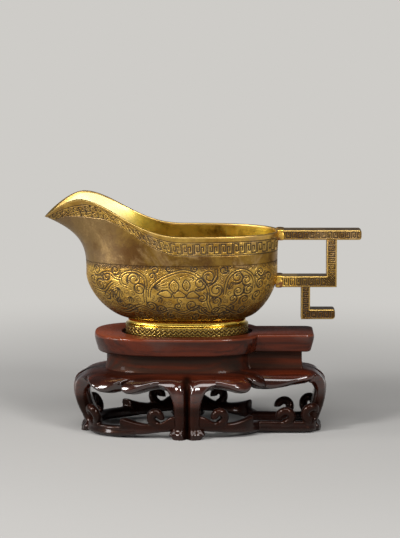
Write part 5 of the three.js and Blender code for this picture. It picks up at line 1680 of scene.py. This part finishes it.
# Stand
LEGS = {
    "leg_handle_end": (0.0, HANDLE_RISE), "leg_spout_end": (HALF_OUTLINE, SPOUT_RISE),
    "leg_back": (SIDE_LEG, 0.0), "leg_front": (-SIDE_LEG, 0.0)}
dress(board_piece("board", WOOD), STAND, "dark_hardwood", "stand_top_board")
dress(waist_piece("waist", WOOD), STAND, "dark_hardwood", "stand_waist")
for node, (middle, rise) in LEGS.items():
    dress(leg_piece("carved_" + node, WOOD, middle, rise), STAND, "dark_hardwood", node)
for node, (side, end) in SPANS.items():
    dress(apron_piece("carved_apron_" + node, WOOD, side, end), STAND, "dark_hardwood", "apron_" + node)
    dress(rail_piece("carved_rail_" + node, WOOD, side, end), STAND, "dark_hardwood", "rail_" + node)

# Stage, light and camera, in metres
scene = bpy.context.scene
scene.view_settings.view_transform = "Standard"

FLOOR_HALF = 14.0
SHADOW_NEAR, SHADOW_FAR = 0.12, 0.42
LOOK_AT = np.array([-1.5, 0.0, 81.0]) * MM
CAMERA_DISTANCE = 1.5
CAMERA_ELEVATION = math.radians(8.7)
CAMERA_LENS, SENSOR_WIDTH = 200.7, 36

# Soft lights: place, width and height, power in watts
SOFT_LIGHTS = {
    "left_box": ((-0.95, -0.85, 0.8), (0.36, 0.36), 18),
    "right_box": ((0.65, -0.95, 0.7), (0.3, 0.3), 9),
    "top_box": ((0.1, -0.55, 1.0), (0.9, 0.4), 6),
    "low_box": ((-1.0, -0.55, 0.3), (0.2, 0.3), 3),
    "side_box": ((-1.1, -0.12, 0.62), (0.26, 0.26), 4),
}


def floor_finish():
    """Pale floor that keeps the object's shadow near it and fades into the even background far away, for the
    camera and for what shines."""
    finish = Finish("pale_floor")
    finish.set(Base_Color=colour(168, 166, 163), Roughness=0.7, Specular_IOR_Level=0.2)
    path = finish.node("ShaderNodeLightPath").outputs
    seen = finish.most(path["Is Camera Ray"], path["Is Glossy Ray"])
    seen = finish.most(seen, path["Is Transmission Ray"])
    away = finish.node("ShaderNodeVectorMath", {0: finish.place}, operation="LENGTH").outputs["Value"]
    share = finish.times(seen, finish.steps(away, SHADOW_NEAR, SHADOW_FAR))
    glow = finish.node("ShaderNodeEmission", {"Color": colour(206, 204, 200), "Strength": 1.0})
    both = finish.node("ShaderNodeMixShader", {0: share, 1: finish.shader.outputs[0], 2: glow.outputs[0]})
    finish.put(finish.tree.nodes["Material Output"].inputs["Surface"], both.outputs[0])
    return finish.material


def pale_floor():
    """One square at the level that the object stands on."""
    mesh = bpy.data.meshes.new("floor")
    corners = [(x * FLOOR_HALF, y * FLOOR_HALF, 0) for x, y in ((-1, -1), (1, -1), (1, 1), (-1, 1))]
    mesh.from_pydata(corners, [], [(0, 1, 2, 3)])
    mesh.materials.append(floor_finish())
    floor = bpy.data.objects.new("floor", mesh)
    scene.collection.objects.link(floor)


def studio_world():
    """A soft room: pale at the horizon and dim above."""
    world = bpy.data.worlds.new("studio")
    scene.world = world
    world.use_nodes = True
    room = Nodes(world.node_tree, "Generated")
    walls = room.tree.nodes["Background"]
    room.put(walls.inputs["Color"], (0.95, 0.97, 1.0, 1))
    room.put(walls.inputs["Strength"], room.steps(room.axis("Z"), 0.0, 0.5, 0.32, 0.06))


def aim(item, place):
    """Places an object and turns its -Z towards the middle of the view, with Z up."""
    item.location = place.tolist()
    item.rotation_euler = Vector((LOOK_AT - place).tolist()).to_track_quat("-Z", "Y").to_euler()


def soft_light(name, place, size, power):
    """Rectangular soft box that faces the middle of the view."""
    lamp = bpy.data.lights.new(name, "AREA")
    lamp.shape = "RECTANGLE"
    lamp.size, lamp.size_y = size
    lamp.energy = power
    item = bpy.data.objects.new(name, lamp)
    scene.collection.objects.link(item)
    aim(item, np.array(place))


def front_camera():
    """Camera at the photograph's angle, at its distance from the middle of the view."""
    data = bpy.data.cameras.new("camera")
    data.lens = CAMERA_LENS
    data.sensor_width = SENSOR_WIDTH
    camera = bpy.data.objects.new("camera", data)
    scene.collection.objects.link(camera)
    away = np.array([0, -math.cos(CAMERA_ELEVATION), math.sin(CAMERA_ELEVATION)])
    aim(camera, LOOK_AT + CAMERA_DISTANCE * away)
    return camera


pale_floor()
studio_world()
for light, (place, size, power) in SOFT_LIGHTS.items():
    soft_light(light, place, size, power)
scene.camera = front_camera()
